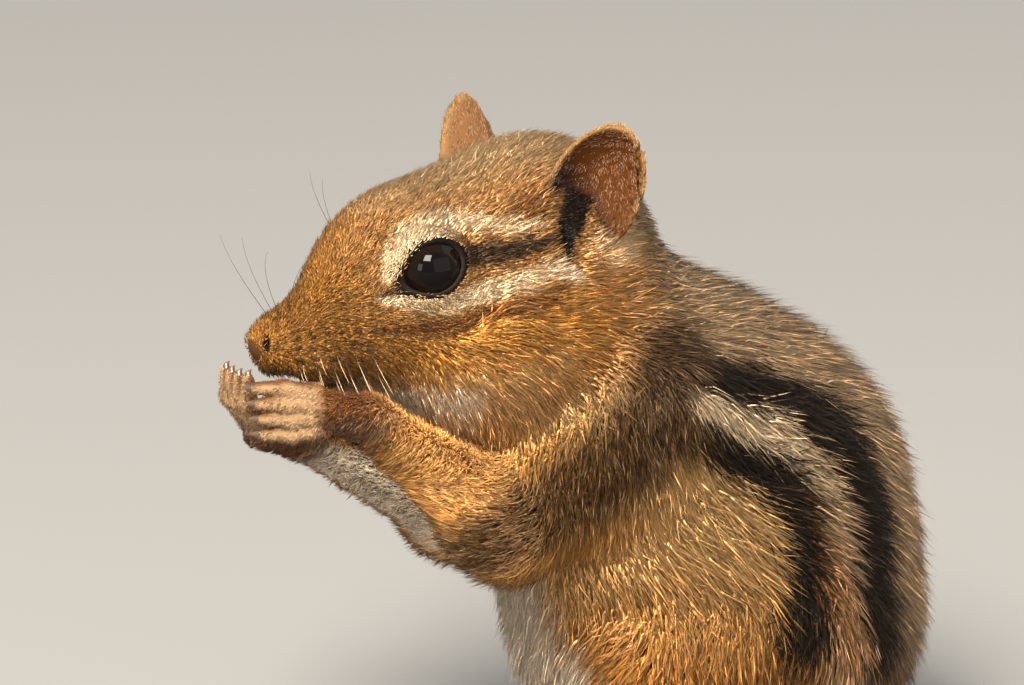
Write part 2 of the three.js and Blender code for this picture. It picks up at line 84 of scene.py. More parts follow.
def turn(axis, degrees):
    return np.array(Matrix.Rotation(math.radians(degrees), 3, Vector(axis)))


HEAD_POSE = turn((0, 0, 1), HEAD_YAW) @ turn((0, -1, 0), HEAD_PITCH) @ turn((-1, 0, 0), HEAD_ROLL)
HEAD_AXES = np.array([HEAD_POSE @ axis for axis in ((-1, 0, 0), (0, -1, 0), (0, 0, 1))])
WORLD_AXES = np.eye(3)


def head_point(place):
    return np.asarray(place, float) @ HEAD_AXES + HEAD_CENTRE


def head_way(way):
    return unit(np.asarray(way, float) @ HEAD_AXES)


def in_head(places):
    return (places - HEAD_CENTRE) @ HEAD_AXES.T


# Masses of flesh. Radii are out to the tips of the hair, and the skin lies inside them by the coat's depth.
FLAT_COAT = 0.85  # how much of a flattened mass's coat lies over and under it


@dataclass
class Mass:
    chart: str
    ends: np.ndarray  # one centre, or two joints
    radii: np.ndarray
    blend: float
    coat: float
    hair: float
    lie: np.ndarray
    axes: np.ndarray = None
    flatness: float = 1.0

    def distance(self, places):
        if self.axes is not None:
            return ellipsoid((places - self.ends[0]) @ self.axes.T, self.radii - self.coat)
        share, offset = along_segment(places, *self.ends)
        radius = self.radii[0] + (self.radii[1] - self.radii[0]) * share - self.coat
        if self.flatness != 1:
            offset = offset * (1, 1, self.flatness)
            radius = radius + self.coat - self.coat * self.flatness * FLAT_COAT
        return (length_of(offset) - radius) / self.flatness


def ball(chart, at, radii, blend, coat, hair, lie, axes=WORLD_AXES):
    return Mass(chart, np.array([at], float), np.array(radii, float), blend, coat, hair, unit(lie), axes)


def limb(chart, start, stop, radii, blend, coat, hair, lie=None, flatness=1.0):
    ends = np.array((start, stop), float)
    way = ends[1] - ends[0] if lie is None else lie
    return Mass(chart, ends, np.array(radii, float), blend, coat, hair, unit(way), None, flatness)


def head_ball(side, at, radii, blend, coat, hair, lie):
    at, lie = head_point(mirrored(at, side)), head_way(mirrored(lie, side))
    return ball("head", at, radii, blend, coat, hair, lie, HEAD_AXES)


DOWN_BACK = (0.75, 0, -0.66)


def body_masses():
    masses = [
        ball("trunk", (14.6, 0, 20.6), (20.2, 18.2, 21.0), 4, 2.5, 5.6, (0.5, 0, -0.9)),
        ball("trunk", (12, 0, 33), (20.8, 17.6, 20.6), 6, 2.5, 5.4, DOWN_BACK),
        ball("trunk", (4.6, 0, 39.3), (18.4, 15.0, 17.6), 6, 2.5, 5.0, (0.9, 0, -0.45)),
        ball("trunk", (-5, 0, 38), (13.5, 12.5, 14.0), 6, 2.2, 4.6, (0.25, 0, -1)),
        ball("trunk", (3, 0, 22), (13.5, 14.5, 17.0), 6, 1.9, 4.4, (0.35, 0, -1)),
    ]
    for side in SIDES.values():
        masses += [
            limb("trunk", (20, -9 * side, 20), (4, -12.8 * side, 17.5), (11.2, 8.4), 4, 2.4, 5.4, (-0.3, 0, -1)),
            limb("trunk", (4.5, -13.5 * side, 13), (19, -14 * side, 6.5), (6.0, 4.2), 4, 1.4, 3.2, (-0.5, 0, -1)),
        ]
    masses += [
        limb("trunk", (1, -0.3, 46.5), head_point((-3, 0, -3.6)), (13.5, 10.6), 7, 2.1, 4.6, (1, 0, -0.35)),
        limb("trunk", (-4, -1, 42), head_point((3, 0, -8)), (11.5, 10.0), 6, 2.1, 4.2, (0.5, 0, -0.9)),
        head_ball(LEFT, (0, 0, 0), (13.0, 11.6, 12.2), 4, 1.0, 2.4, (-1, 0, 0)),
        head_ball(LEFT, (12, 0, 1.6), (13.0, 9.0, 9.5), 5, 0.75, 1.8, (-1, 0, 0.1)),
        limb("head", head_point((14, 0, -1.2)), head_point((29.4, 0, -2.2)), (8.5, 4.1), 4, 0.55, 1.05,
             head_way((-1, 0, -0.1))),
        limb("head", head_point((12, 0, -8)), head_point((24, 0, -6.6)), (5.5, 2.8), 3, 0.6, 1.2,
             head_way((-1, 0, -0.4))),
    ]
    for side in SIDES.values():
        masses += [
            head_ball(side, (7, 4.6, -8.6), (11.5, 9.0, 9.8), 5, 1.5, 3.6, (-1, 0.1, -0.45)),
            head_ball(side, (26.6, 2.4, -3.8), (4.4, 2.9, 3.0), 2, 0.5, 1.0, (-1, 0.2, -0.35)),
        ]
    return masses


# Limbs. The hands' places are in the head's axes, because the hands are at the mouth.
SHOULDER = {"left": (2, -10, 43), "right": (1, 10, 42)}
ELBOW = {"left": (-12, -14, 34.5), "right": (-13.8, 9.5, 30.3)}
WRIST = {"left": (24.4, 6.9, -10.5), "right": (26.4, -6.2, -14)}
PALM = {"left": (28.4, 5.9, -8.7), "right": (31.3, -5, -11.9)}
HAND_WAYS = {
    "left": {"reach": (0.95, -0.22, 0.23), "back": (0, 1, 0), "across": (0, 0, 1), "curl": (0.5, -1, 0)},
    "right": {"reach": (0.42, 0.1, 0.9), "back": (0.9, 0, -0.42), "across": (0, -1, 0), "curl": (-0.4, 0.3, 0.85)},
}
FINGER_RADII = (1.15, 1.05, 0.85)
FINGER_LENGTHS = (3.6, 3.2)
FINGER_PLACES = (-1.5, -0.5, 0.5, 1.5)
KNUCKLE_SPACING, JOINT_SPREAD = 1.3, 0.4
FINGER_BEND, FINGER_ARCH = 0.5, 1.1
KNUCKLE_ARCH, JOINT_ARCH = 0.45, 0.25
CLAW_RADIUS, FINGER_CLAW, TOE_CLAW = 0.45, 1.4, 2.4
FINGER_HOOK, TOE_HOOK = {"left": 0.6, "right": 1.7}, 0.25
TOE_LENGTHS = (7.5, 10, 11, 10.5, 8)
TOE_RADII = (1.7, 1.15)
TOE_SPACING = 1.7
TAIL_COURSE = ((24, 0, 5.2), (38, -3.5, 4.9), (50, -10, 4.8), (61, -18.5, 4.7), (70.5, -29, 4.7),
               (77, -41, 4.7), (80.5, -52, 4.5), (81.5, -61, 4.3), (80.8, -70, 3.7), (79.6, -77, 3.0))
TAIL_RADIUS, TAIL_END_RADII = 7.2, (6.4, 5.2, 3.8)


def finger_joints(name):
    """The three joints of each finger of a hand."""
    ways = {key: head_way(way) for key, way in HAND_WAYS[name].items()}
    axes = np.array([ways[key] for key in ("reach", "back", "across")])
    reach = ways["reach"] * (1 - FINGER_BEND) + ways["curl"] * FINGER_BEND
    fingers = []
    for place in FINGER_PLACES:
        arch = FINGER_ARCH * (1 - abs(place) / 3)
        knuckle = head_point(PALM[name]) + (1, arch * KNUCKLE_ARCH, place * KNUCKLE_SPACING) @ axes
        joint = knuckle + (FINGER_LENGTHS[0], arch * JOINT_ARCH, place * JOINT_SPREAD) @ axes
        fingers.append((knuckle, joint, joint + FINGER_LENGTHS[1] * reach))
    return fingers


def toe_joints(side):
    """The root and the tip of each toe of a foot."""
    toes = []
    for number, length in enumerate(TOE_LENGTHS):
        offset = (2 - number) * TOE_SPACING
        root = np.array((-1, (-16.5 + offset * 0.6) * side, TOE_RADII[0]))
        tip = np.array((-1 - length, (-17.5 + offset * 1.25) * side, TOE_RADII[1]))
        toes.append((root, tip))
    return toes


def arm_masses(name):
    shoulder, elbow = SHOULDER[name], ELBOW[name]
    wrist, palm = head_point(WRIST[name]), head_point(PALM[name])
    chart = "arm_" + name
    masses = [
        limb(chart, shoulder, elbow, (7.5, 6.2), 4, 1.8, 4.0, (-0.15, 0, -1)),
        limb(chart, elbow, wrist, (5.6, 2.6), 4, 0.9, 2.6),
        limb(chart, wrist, palm, (2.4, 2.4), 2, 0.35, 1.0),
    ]
    for knuckle, joint, tip in finger_joints(name):
        masses += [
            limb(chart, knuckle, joint, FINGER_RADII[:2], 0.5, 0.2, 0.75),
            limb(chart, joint, tip, FINGER_RADII[1:], 0.5, 0.2, 0.6),
        ]
    return masses


def leg_masses(name):
    side = SIDES[name]
    chart = "leg_" + name
    masses = [limb(chart, (21, -14 * side, 3.8), (-1, -16.5 * side, 2.8), (4.0, 3.3), 3, 0.6, 1.4)]
    return masses + [limb(chart, root, tip, TOE_RADII, 1, 0.3, 0.7) for root, tip in toe_joints(side)]


def tail_masses():
    joints = np.array(TAIL_COURSE, float)
    radii = [TAIL_RADIUS] * (len(joints) - len(TAIL_END_RADII)) + list(TAIL_END_RADII)
    return [limb("tail", joints[i], joints[i + 1], radii[i:i + 2], 1, 3.6, 6.5 if i < 2 else 7.8, flatness=1.5)
            for i in range(len(joints) - 1)]


BODY = body_masses()
ARMS = {name: arm_masses(name) for name in SIDES}
LEGS = {name: leg_masses(name) for name in SIDES}
TAIL = tail_masses()
FAR = 12.0  # no mass is blended in from farther away than this


def blended(a, b, width):
    overlap = np.maximum(width - np.abs(a - b), 0) / width
    return np.minimum(a, b) - overlap**2 * width / 4


def cut_back(a, b, width):
    """What is in a and outside b, with a rounded edge."""
    return -blended(-a, b, width)


SLACK = 0.8  # the true distance to a mass is at least this much of the one worked out


def run_together(masses, places):
    """The masses blended in turn, leaving out those too far from every place to matter."""
    middle = (places.min(0) + places.max(0)) / 2
    reach = length_of(places.max(0) - middle)
    total = np.full(places.shape[:-1], FAR)
    for mass in masses:
        if mass.distance(middle[None])[0] * SLACK - reach < FAR:
            total = blended(total, mass.distance(places), mass.blend)
    return total


# Ears: thin cups
EAR_ROOTS = {"left": (-1.4, 9.2, 2.4), "right": (1.5, 9.2, 2.4)}
EAR_TIPS = {"left": (-6.6, 13.4, 12.8), "right": (-2.5, 13.2, 13.2)}
EAR_FACES = {"left": (0.62, 0.78, -0.1), "right": (0.5, 0.86, -0.1)}
EAR_MIDDLE, EAR_HALF_WIDTH, EAR_HALF_HEIGHT, EAR_CUP = 5.6, 4.7, 7.3, 2.6
EAR_SKIN = (0.9, 0.5)  # thickness at the middle and at the rim
EAR_NARROWING = 0.012  # of the width, for each millimetre up


def ear_local(name, places):
    """Places across, up and out of the cup of one ear, in the head's own handedness."""
    side = SIDES[name]
    root, tip = mirrored(EAR_ROOTS[name], side), mirrored(EAR_TIPS[name], side)
    up = unit(tip - root)
    face = mirrored(EAR_FACES[name], side)
    face = unit(face - (face @ up) * up)
    axes = np.array((np.cross(up, face) * side, up, face))
    return (in_head(places) - root - up * EAR_MIDDLE) @ axes.T


def in_ear(name, places):
    """Places in one ear's axes, how near to its rim each is, and whether it is on the hollow side of the cup."""
    local = ear_local(name, places)
    ratio = np.hypot(local[..., 0] / EAR_HALF_WIDTH, local[..., 1] / EAR_HALF_HEIGHT)
    return local, ratio, local[..., 2] > -EAR_CUP * (1 - np.minimum(ratio, 1) ** 2)


def ear_distance(name, places):
    x, h, out = np.moveaxis(ear_local(name, places), -1, 0)
    ratio = np.hypot(x / (EAR_HALF_WIDTH * (1 - EAR_NARROWING * h)), h / EAR_HALF_HEIGHT)
    shrink, inner = 1 / np.maximum(ratio, 1), np.minimum(ratio, 1)
    sheet = -EAR_CUP * (1 - inner**2)
    slope = 2 * EAR_CUP * inner / EAR_HALF_WIDTH
    gap = np.stack((x - x * shrink, h - h * shrink, (out - sheet) / np.sqrt(1 + slope**2)), -1)
    return length_of(gap) - (EAR_SKIN[0] + (EAR_SKIN[1] - EAR_SKIN[0]) * inner) / 2


# Eyes and lids
EYE_AT, EYE_RADIUS = (14.7, 7.1, 3.25), 3.6
EYE_OUT, EYE_LONG = (0.33, 0.93, 0.16), (0.92, -0.25, -0.3)
CORNEA = {"rise": 0.14, "half_width": math.radians(48)}
LID = 0.4  # the lids' thickness
LID_BLEND, LID_EDGE, LID_REACH = 1.6, 0.3, 4
EYE_SURROUNDS = 10  # from the eye's middle to the farthest place that the lids can touch
SOCKET = 0.7  # how far the lids' edge runs down into the eye
EYE_OPENING = (math.radians(57), math.radians(43))
EYE_POINT = 0.28  # how much narrower the opening is at its two corners
EYE_CORNER = ((17.6, 2.1), (20.6, 1.7))  # the dark groove before the eye


def eye_axes(side):
    out = unit(mirrored(EYE_OUT, side))
    long = mirrored(EYE_LONG, side)
    long = unit(long - (long @ out) * out)
    return np.array((long, np.cross(long, out) * side, out))


def lid_margin(side, places):
    """How far places are outside the lids' opening, how high over its middle, and how far from the eye's middle."""
    local = (in_head(places) - mirrored(EYE_AT, side)) @ eye_axes(side).T
    span = length_of(local)
    a, b, c = (local / np.maximum(span, 1e-6)[..., None]).T
    long, tall = np.sin(EYE_OPENING)
    pointed = 1 + EYE_POINT * np.clip(a / long, 0, 1.2) ** 2
    edge = (np.hypot(a / (long * 1.03), b * pointed / tall) - 1) * EYE_RADIUS * tall
    return np.where(c > 0, edge.T, EYE_RADIUS), b.T, span


def with_eyes(skin, places):
    for side in SIDES.values():
        margin, _, span = lid_margin(side, places)
        if span.min() <= EYE_SURROUNDS:
            skin = blended(skin, span - EYE_RADIUS - LID, LID_BLEND)
            reach = np.maximum(span - EYE_RADIUS - LID_REACH, EYE_RADIUS - SOCKET - span)
            skin = cut_back(skin, np.maximum(margin, reach), LID_EDGE)
    return skin


# Nose and mouth: pits and slits in the head's axes
NOSTRIL = {"at": (32.5, 2.0, -0.9), "radii": (1.2, 0.34, 0.95), "way": (0.72, 0.66, -0.15)}
NOSE_PAD = {"at": (32.0, 0, -1.5), "radii": (1.4, 2.0, 1.5), "way": (1, 0, 0)}
NOSE_TIP = {"at": (33.3, 0, -2.0), "radii": (1.0, 1.3, 1.1), "way": (1, 0, 0)}
MOUTH = {"at": (27.6, 0, -6.2), "radii": (4.8, 2.9, 1.1), "way": (1, 0, 0.2)}
LIP_CLEFT = {"at": (31.0, 2.4, -4.6), "radii": (2.2, 0.9, 0.55), "way": (-0.7, 0.6, -0.2)}
EAR_CANAL = {"at": (0.4, 11.3, 2.6), "radii": (2.6, 0.9, 1.2), "way": (0.1, 0.45, -0.9)}
FACE_REACH = 30  # from the mouth to the farthest place that the pits of the face can touch


def pit(places, at, radii, way, side=LEFT):
    along = unit(mirrored(way, side))
    across = unit(np.cross((0, 0, 1), along))
    axes = np.array((along, across, np.cross(along, across)))
    return ellipsoid((in_head(places) - mirrored(at, side)) @ axes.T, np.array(radii))


def with_nose_and_mouth(skin, places):
    if length_of(in_head(places).mean(0) - MOUTH["at"]) > FACE_REACH:
        return skin
    skin = blended(skin, pit(places, **NOSE_PAD), 0.9)
    for hollow, edge, sides in ((NOSTRIL, 0.35, (LEFT, RIGHT)), (MOUTH, 0.5, (LEFT,)),
                                (LIP_CLEFT, 0.5, (LEFT, RIGHT))):
        for side in sides:
            skin = cut_back(skin, pit(places, **hollow, side=side), edge)
    return skin


def skin_distance(places):
    skin = run_together(BODY, places)
    skin = with_nose_and_mouth(skin, places)
    for name, side in SIDES.items():
        arm_blend = np.maximum(10 - 0.36 * length_of(places - SHOULDER[name]), 0.3)  # widest at the shoulder
        skin = blended(skin, run_together(ARMS[name], places), arm_blend)
        skin = blended(skin, run_together(LEGS[name], places), 2)
        skin = blended(skin, ear_distance(name, places), 1.4)
        skin = cut_back(skin, pit(places, **EAR_CANAL, side=side), 0.5)
    skin = blended(skin, run_together(TAIL, places), 3)
    skin = with_eyes(skin, places)
    return np.maximum(skin, -places[..., 2])


def slope_of(field, places, step=0.06):
    value = field(places)
    rises = [field(places + step * axis) - value for axis in WORLD_AXES]
    return value, np.stack(rises, -1) / step


# The skin's net: a grid of uneven lines, closer together at the head and the paws
BLOCK = 8  # cells along the side of a block
CLUSTER = 4  # blocks along the side of a cluster, which is worked out in one go
COARSER = 1.17
WIDENING = 0.07  # of a cell, for each millimetre outside the fine part


def grid_line(low, high, cell):
    line = [low]
    while line[-1] < high:
        line.append(line[-1] + cell(line[-1]))
    return np.array(line)


def widening(fine, coarse, start, stop):
    """A cell size that is fine between two places and widens outside them."""
    def cell(place):
        outside = max(start - place, place - stop, 0)
        return min(coarse, fine + outside * WIDENING)
    return cell


def lattice(lines):
    return np.stack(np.meshgrid(*lines, indexing="ij"), -1)


def grid_values(field, lines):
    """The field on the grid, worked out only in the blocks near its surface."""
    starts = [np.arange(0, len(line), BLOCK) for line in lines]
    ends = [np.minimum(start + BLOCK, len(line) - 1) for start, line in zip(starts, lines)]
    middles = lattice([(line[a] + line[b]) / 2 for line, a, b in zip(lines, starts, ends)])
    halves = lattice([(line[b] - line[a]) / 2 for line, a, b in zip(lines, starts, ends)])
    coarse = field(middles.reshape(-1, 3)).reshape(middles.shape[:-1])
    near = np.argwhere(np.abs(coarse) < length_of(halves) * 1.6 + 0.8)
    values = np.where(coarse < 0, -FAR, FAR).astype(np.float32)
    for axis in range(3):
        values = np.repeat(values, BLOCK, axis)
    values = values[tuple(slice(len(line)) for line in lines)].copy()
    clusters = {}
    for block in near:
        clusters.setdefault(tuple(block // CLUSTER), []).append(block * BLOCK)
    for blocks in clusters.values():
        boxes = [tuple(slice(a, a + BLOCK) for a in block) for block in blocks]
        places = [lattice([line[part] for line, part in zip(lines, box)]) for box in boxes]
        found = field(np.concatenate([place.reshape(-1, 3) for place in places]))
        at = 0
        for box, place in zip(boxes, places):
            size = place.size // 3
            values[box] = found[at:at + size].reshape(place.shape[:-1])
            at += size
    return values


def net_of(field, lines):
    """Vertices and quads of the field's surface, with one vertex in each cell that it crosses."""
    values = grid_values(field, lines)
    inside = values < 0
    corners = [(n & 1, n >> 1 & 1, n >> 2) for n in range(8)]
    shape = [len(line) - 1 for line in lines]
    count = np.zeros(shape, np.int8)
    for corner in corners:
        count += inside[tuple(slice(c, c + s) for c, s in zip(corner, shape))]
    crossed = (count > 0) & (count < 8)
    cells = np.argwhere(crossed)
    number = np.full(shape, -1, np.int32)
    number[crossed] = np.arange(len(cells))
    total, hits = np.zeros((len(cells), 3)), np.zeros(len(cells))
    steps = np.eye(3, dtype=int)
    for first in corners:
        for axis in range(3):
            if first[axis]:
                continue
            second = np.array(first) + steps[axis]
            a, b = cells + first, cells + second
            va, vb = values[tuple(a.T)], values[tuple(b.T)]
            hit = (va < 0) != (vb < 0)
            share = np.where(hit, va / np.where(hit, va - vb, 1), 0)[:, None]
            pa, pb = [np.stack([line[n] for line, n in zip(lines, p.T)], -1) for p in (a, b)]
            total += np.where(hit[:, None], pa + share * (pb - pa), 0)
            hits += hit
    places = total / hits[:, None]
    quads = []
    for axis in range(3):
        b, c = steps[(axis + 1) % 3], steps[(axis + 2) % 3]
        low = [slice(0, -1) if n == axis else slice(1, -1) for n in range(3)]
        high = [slice(1, None) if n == axis else slice(1, -1) for n in range(3)]
        change = inside[tuple(low)] != inside[tuple(high)]
        nodes = np.argwhere(change) + [0 if n == axis else 1 for n in range(3)]
        ring = np.stack([number[tuple(p.T)] for p in (nodes, nodes - b, nodes - b - c, nodes - c)], -1)
        flip = ~inside[tuple(nodes.T)]
        ring[flip] = ring[flip][:, ::-1]
        quads.append(ring)
    return places, np.concatenate(quads)


LEAST_SLOPE = 0.3


def settled(field, places, reach):
    """Places moved onto the field's surface, but no further than the reach."""
    moved = places.copy()
    for _ in range(2):
        value, slope = slope_of(field, moved)
        moved -= slope * (value / np.maximum((slope**2).sum(-1), LEAST_SLOPE))[:, None]
    shift = moved - places
    return places + shift * np.minimum(1, reach / np.maximum(length_of(shift), 1e-9))[:, None]


# From the body's axes to the frame: the left eye's middle ties the two together
low_corner, high_corner = (np.array(corner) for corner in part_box("eye_left"))
FRAME_SHIFT = (low_corner + high_corner) / 2 - head_point(EYE_AT) * MM


def in_frame(places):
    return np.asarray(places) * MM + FRAME_SHIFT


def add_object(name, data):
    thing = bpy.data.objects.new(name, data)
    bpy.context.scene.collection.objects.link(thing)
    return thing


def mesh_object(name, places, faces):
    """A smooth object from arrays: places in millimetres, and faces as a list of arrays, one for each face size."""
    mesh = bpy.data.meshes.new(name)
    mesh.vertices.add(len(places))
    mesh.vertices.foreach_set("co", in_frame(places).astype(np.float32).ravel())
    sizes = np.concatenate([np.full(len(part), part.shape[1]) for part in faces])
    corners = np.concatenate([part.ravel() for part in faces])
    mesh.loops.add(len(corners))
    mesh.loops.foreach_set("vertex_index", corners.astype(np.int32))
    mesh.polygons.add(len(sizes))
    mesh.polygons.foreach_set("loop_start", (np.cumsum(sizes) - sizes).astype(np.int32))
    mesh.polygons.foreach_set("use_smooth", np.full(len(sizes), True))
    mesh.update(calc_edges=True)
    return add_object(name, mesh)


def paint_vertices(piece, colours):
    rgba = np.ones((len(colours), 4), np.float32)
    rgba[:, :3] = colours
    piece.data.attributes.new("tint", "FLOAT_COLOR", "POINT").data.foreach_set("color", rgba.ravel())


# Traits of the coat at a place: the nearest masses' own, mixed
def all_masses():
    masses = BODY + TAIL
    for name in SIDES:
        masses = masses + ARMS[name] + LEGS[name]
    return masses


MASSES = all_masses()
CHARTS = sorted({mass.chart for mass in MASSES}) + ["ear_left", "ear_right"]


EAR_SLIT = ((-2.8, 6.4), (-0.5, 3.9), (0.4, 2.4), (0.8, 0.1))  # the hollow before the ear, painted near-black as shade
TRAIT_REACH = 1.3
DROOP = (0, 0, -1.3)  # added to the lie of the hair on the cheek and the side of the neck
EAR_HAIR, SLIT_HAIR = 0.7, 0.9
LID_HAIR, LID_HAIR_RISE = 0.75, 0.35


def coat_traits(places):
    """Hair length, lie, and chart at each place."""
    distances = np.stack([mass.distance(places) for mass in MASSES])
    nearest = distances.min(0)
    weights = np.exp(-(distances - nearest) / TRAIT_REACH)
    weights /= weights.sum(0)
    hair = weights.T @ np.array([mass.hair for mass in MASSES])
    lie = weights.T @ np.array([mass.lie for mass in MASSES])
    chart = np.array([CHARTS.index(mass.chart) for mass in MASSES])[distances.argmin(0)]
    droop = ramp(-places[:, 2], -57, -45) * ramp(places[:, 2], 38, 44) * ramp(-places[:, 0], -12, -2)
    lie += droop[:, None] * DROOP
    hair = hair + (SLIT_HAIR - hair) * line_mask(in_head(places), EAR_SLIT, (3.2, 2.6, 1.8, 1.2))
    for name, side in SIDES.items():
        ear = ear_distance(name, places) < nearest - 0.2
        hair[ear] = EAR_HAIR
        lie[ear] = head_way(unit(mirrored(EAR_TIPS[name], side) - mirrored(EAR_ROOTS[name], side)))
        chart[ear] = CHARTS.index("ear_" + name)
        margin, _, span = lid_margin(side, places)
        beside = span < EYE_RADIUS + LID_REACH
        hair[beside] = np.minimum(hair, LID_HAIR + LID_HAIR_RISE * np.maximum(margin, 0))[beside]
    return hair, lie, chart


# Colours, as seen on the animal, in sRGB
def linear(r, g, b):
    rgb = np.array((r, g, b)) / 255
    return np.where(rgb <= 0.04045, rgb / 12.92, ((rgb + 0.055) / 1.055) ** 2.4)


TONE = {name: linear(*rgb) for name, rgb in {
    "crown": (195, 141, 81), "crown_top": (190, 160, 118), "muzzle": (164, 109, 42), "cheek": (196, 137, 62),
    "brow_pale": (242, 210, 165), "eye_line": (66, 48, 34), "rust": (122, 69, 28), "nape": (136, 100, 58),
    "grey_back": (166, 137, 103), "black": (36, 26, 16), "cream": (240, 212, 172), "cream_low": (140, 89, 43),
    "flank": (196, 156, 101), "haunch": (167, 109, 43), "belly": (236, 217, 192), "arm": (196, 142, 76),
    "wrist": (112, 58, 18), "finger": (206, 164, 120), "ear_inside": (114, 64, 23), "ear_back": (156, 108, 68),
    # the rump's tone is dark rust: partly its own colour, partly painted shade
    "ear_rim": (181, 135, 83), "rump_rust_and_shade": (84, 46, 18), "white": (248, 230, 202), "foot": (206, 160, 108),
    # the near-black for the mouth, nostrils, lip cleft, ear canals, ear cups and the hollow before the ear is painted
    # shade
    "lid": (20, 13, 9), "lid_rim": (46, 32, 24), "nose": (92, 58, 36), "mouth": (26, 13, 9),
    # the dark brown for the crease behind the upper arm is painted shade
    "crease_shade": (58, 34, 13), "pupil": (7, 5, 5), "iris": (14, 8, 5), "claw": (58, 42, 30),
    "claw_tip": (92, 72, 54), "whisker": (38, 26, 18), "tail_top": (84, 66, 46), "tail_under": (150, 96, 50),
}.items()}


def ramp(value, start, stop):
    share = np.clip((value - start) / (stop - start), 0, 1)
    return share * share * (3 - 2 * share)


def fade(value, start, stop):
    return 1 - ramp(value, start, stop)


def mixed(colour, tone, share):
    """A colour mixed with a tone, which is a name or a colour, by a share at each place."""
    tone = TONE[tone] if isinstance(tone, str) else tone
    return colour + (tone - colour) * np.asarray(share)[..., None]


def painted(colour, *layers):
    for tone, share in layers:
        colour = mixed(colour, tone, share)
    return colour


# The back's own coordinates: an angle down the back, round a centre in the belly, and one round the trunk
BACK_CENTRE = (-6, 22)
BACK_RADIUS = 17


def on_back(places):
    """Degrees down the back and round the trunk, and how far each place is from the line that both turn about."""
    x, z = places[..., 0] - BACK_CENTRE[0], places[..., 2] - BACK_CENTRE[1]
    outward = np.hypot(x, z) - BACK_RADIUS
    around = np.degrees(np.arctan2(np.abs(places[..., 1]), outward))
    return np.degrees(np.arctan2(z, x)), around, np.hypot(outward, places[..., 1])


# Middles of the stripes of the near side, from the withers to the rump, with half their width at each end, and
# the degrees between which they begin and end
STRIPES = {
    "upper": {"tone": "black", "half": (2.3, 2.8), "span": (66, 60, -4, -16), "course": (
        (10.2, -13.5, 50.1), (17.8, -12.2, 47.6), (23.6, -11.5, 43.6), (26.6, -12.2, 37.4), (28, -13.2, 31.2),
        (28, -15.6, 25.6), (28, -17.5, 20))},
    "cream": {"tone": "cream", "half": (1.7, 1.3), "span": (76, 68, -4, -14), "course": (
        (4.4, -17, 46.9), (10.6, -15.2, 46.5), (16.8, -14.8, 43.9), (20.4, -15.2, 39.5), (22.6, -15.7, 34.5),
        (23.2, -17.4, 29.5), (24.1, -19.4, 23.9), (25.6, -20, 20.7))},
    "lower": {"tone": "black", "half": (2.0, 2.6), "span": (72, 62, -2, -12), "course": (
        (6.9, -17.1, 44.3), (12.2, -16.5, 42), (16.6, -16.4, 39.6), (19.6, -16.7, 34.9), (20, -18, 29.8),
        (19.7, -20.3, 24.1))},
}


def stripe_mask(places, stripe):
    down, around, radius = on_back(places)
    at, middle, _ = on_back(np.array(stripe["course"], float))
    order = np.argsort(at)
    off = np.abs(around - np.interp(down, at[order], middle[order])) * np.pi / 180 * radius
    half = np.interp(down, (0, 60), stripe["half"][::-1])
    start, full, fading, stop = stripe["span"]
    ends = ramp(down, start, full) * ramp(down, stop, fading)
    return fade(off, half - 0.5, half + 0.6) * ends


# Streaks of the face: forward and up places, half the width at each, and strength
FACE_STREAKS = (
    ("rust", ((21, -1.9), (15, -2.9), (10, -2.7), (3, -2.4)), (0.5, 0.8, 0.9, 0.5), 0.8),
    ("rust", ((9.5, 2.6), (5, 2.4), (2.5, 2.2)), (0.5, 0.8, 0.8), 0.6),
    ("rust", ((4.5, 5.2), (2.5, 6.4)), (1.0, 1.4), 0.7),
    ("brow_pale", ((19.6, 3.2), (18.7, 5.2), (16.7, 6.9), (14.2, 7.4), (9.8, 6.6), (5.5, 5.2), (2.5, 4.6)),
     (0.4, 0.6, 0.75, 0.85, 0.75, 0.5, 0.2), 1.0),
    ("brow_pale", ((20.8, 1.3), (18.0, 0.5), (14.7, -0.35), (11, -0.4), (8, -0.2), (1.7, 0.2)),
     (0.3, 0.75, 1.05, 1.0, 1.0, 0.8), 1.0),
    ("eye_line", ((12.5, 3.8), (8.1, 3.4), (3.6, 3.1), (1.5, 3.0)), (1.0, 1.0, 0.7, 0.4), 0.95),
    ("eye_line", ((18.2, 2.2), (20.8, 1.6)), (0.5, 0.1), 0.95),
    # painted shade in the hollow before the ear
    ("mouth", EAR_SLIT, (1.7, 1.4, 0.7, 0.25), 0.97),
)
FACE_SPOTS = (  # forward and up, where the spot starts and stops to fade, and strength
    ("white", (1.0, -1.0), 0.4, 1.6, 0.7),
    ("brow_pale", (-5.2, 0.6), 1.2, 3.6, 0.7),
    ("brow_pale", (29.4, -2.9), 0.8, 2.8, 0.4),
)
PAD_ROWS = (  # first and last root of each row of whiskers, how many, and their lengths
    ((29.6, 4.0, -0.9), (23.4, 6.6, -1.6), 5, (2.5, 6)),
    ((29.8, 4.4, -2.2), (23.0, 6.4, -3.0), 6, (2.5, 7)),
    ((30.0, 4.2, -3.2), (23.4, 5.8, -4.4), 5, (2, 5.5)),
)


def line_mask(head, course, half):
    """A streak on the side of the face, along a course of forward and up places, with its half width at each."""
    course = np.array(course, float)
    best = np.full(head.shape[:-1], 9.0)
    for a, b, start, stop in zip(course, course[1:], half, half[1:]):
        share, offset = along_segment(head[..., (0, 2)], a, b)
        best = np.minimum(best, length_of(offset) - (start + (stop - start) * share))
    return fade(best, -0.35, 0.5) * ramp(np.abs(head[..., 1]), 2.5, 4.5)


def spot_mask(head, at, start, stop):
    return fade(length_of(head[..., (0, 2)] - at), start, stop)


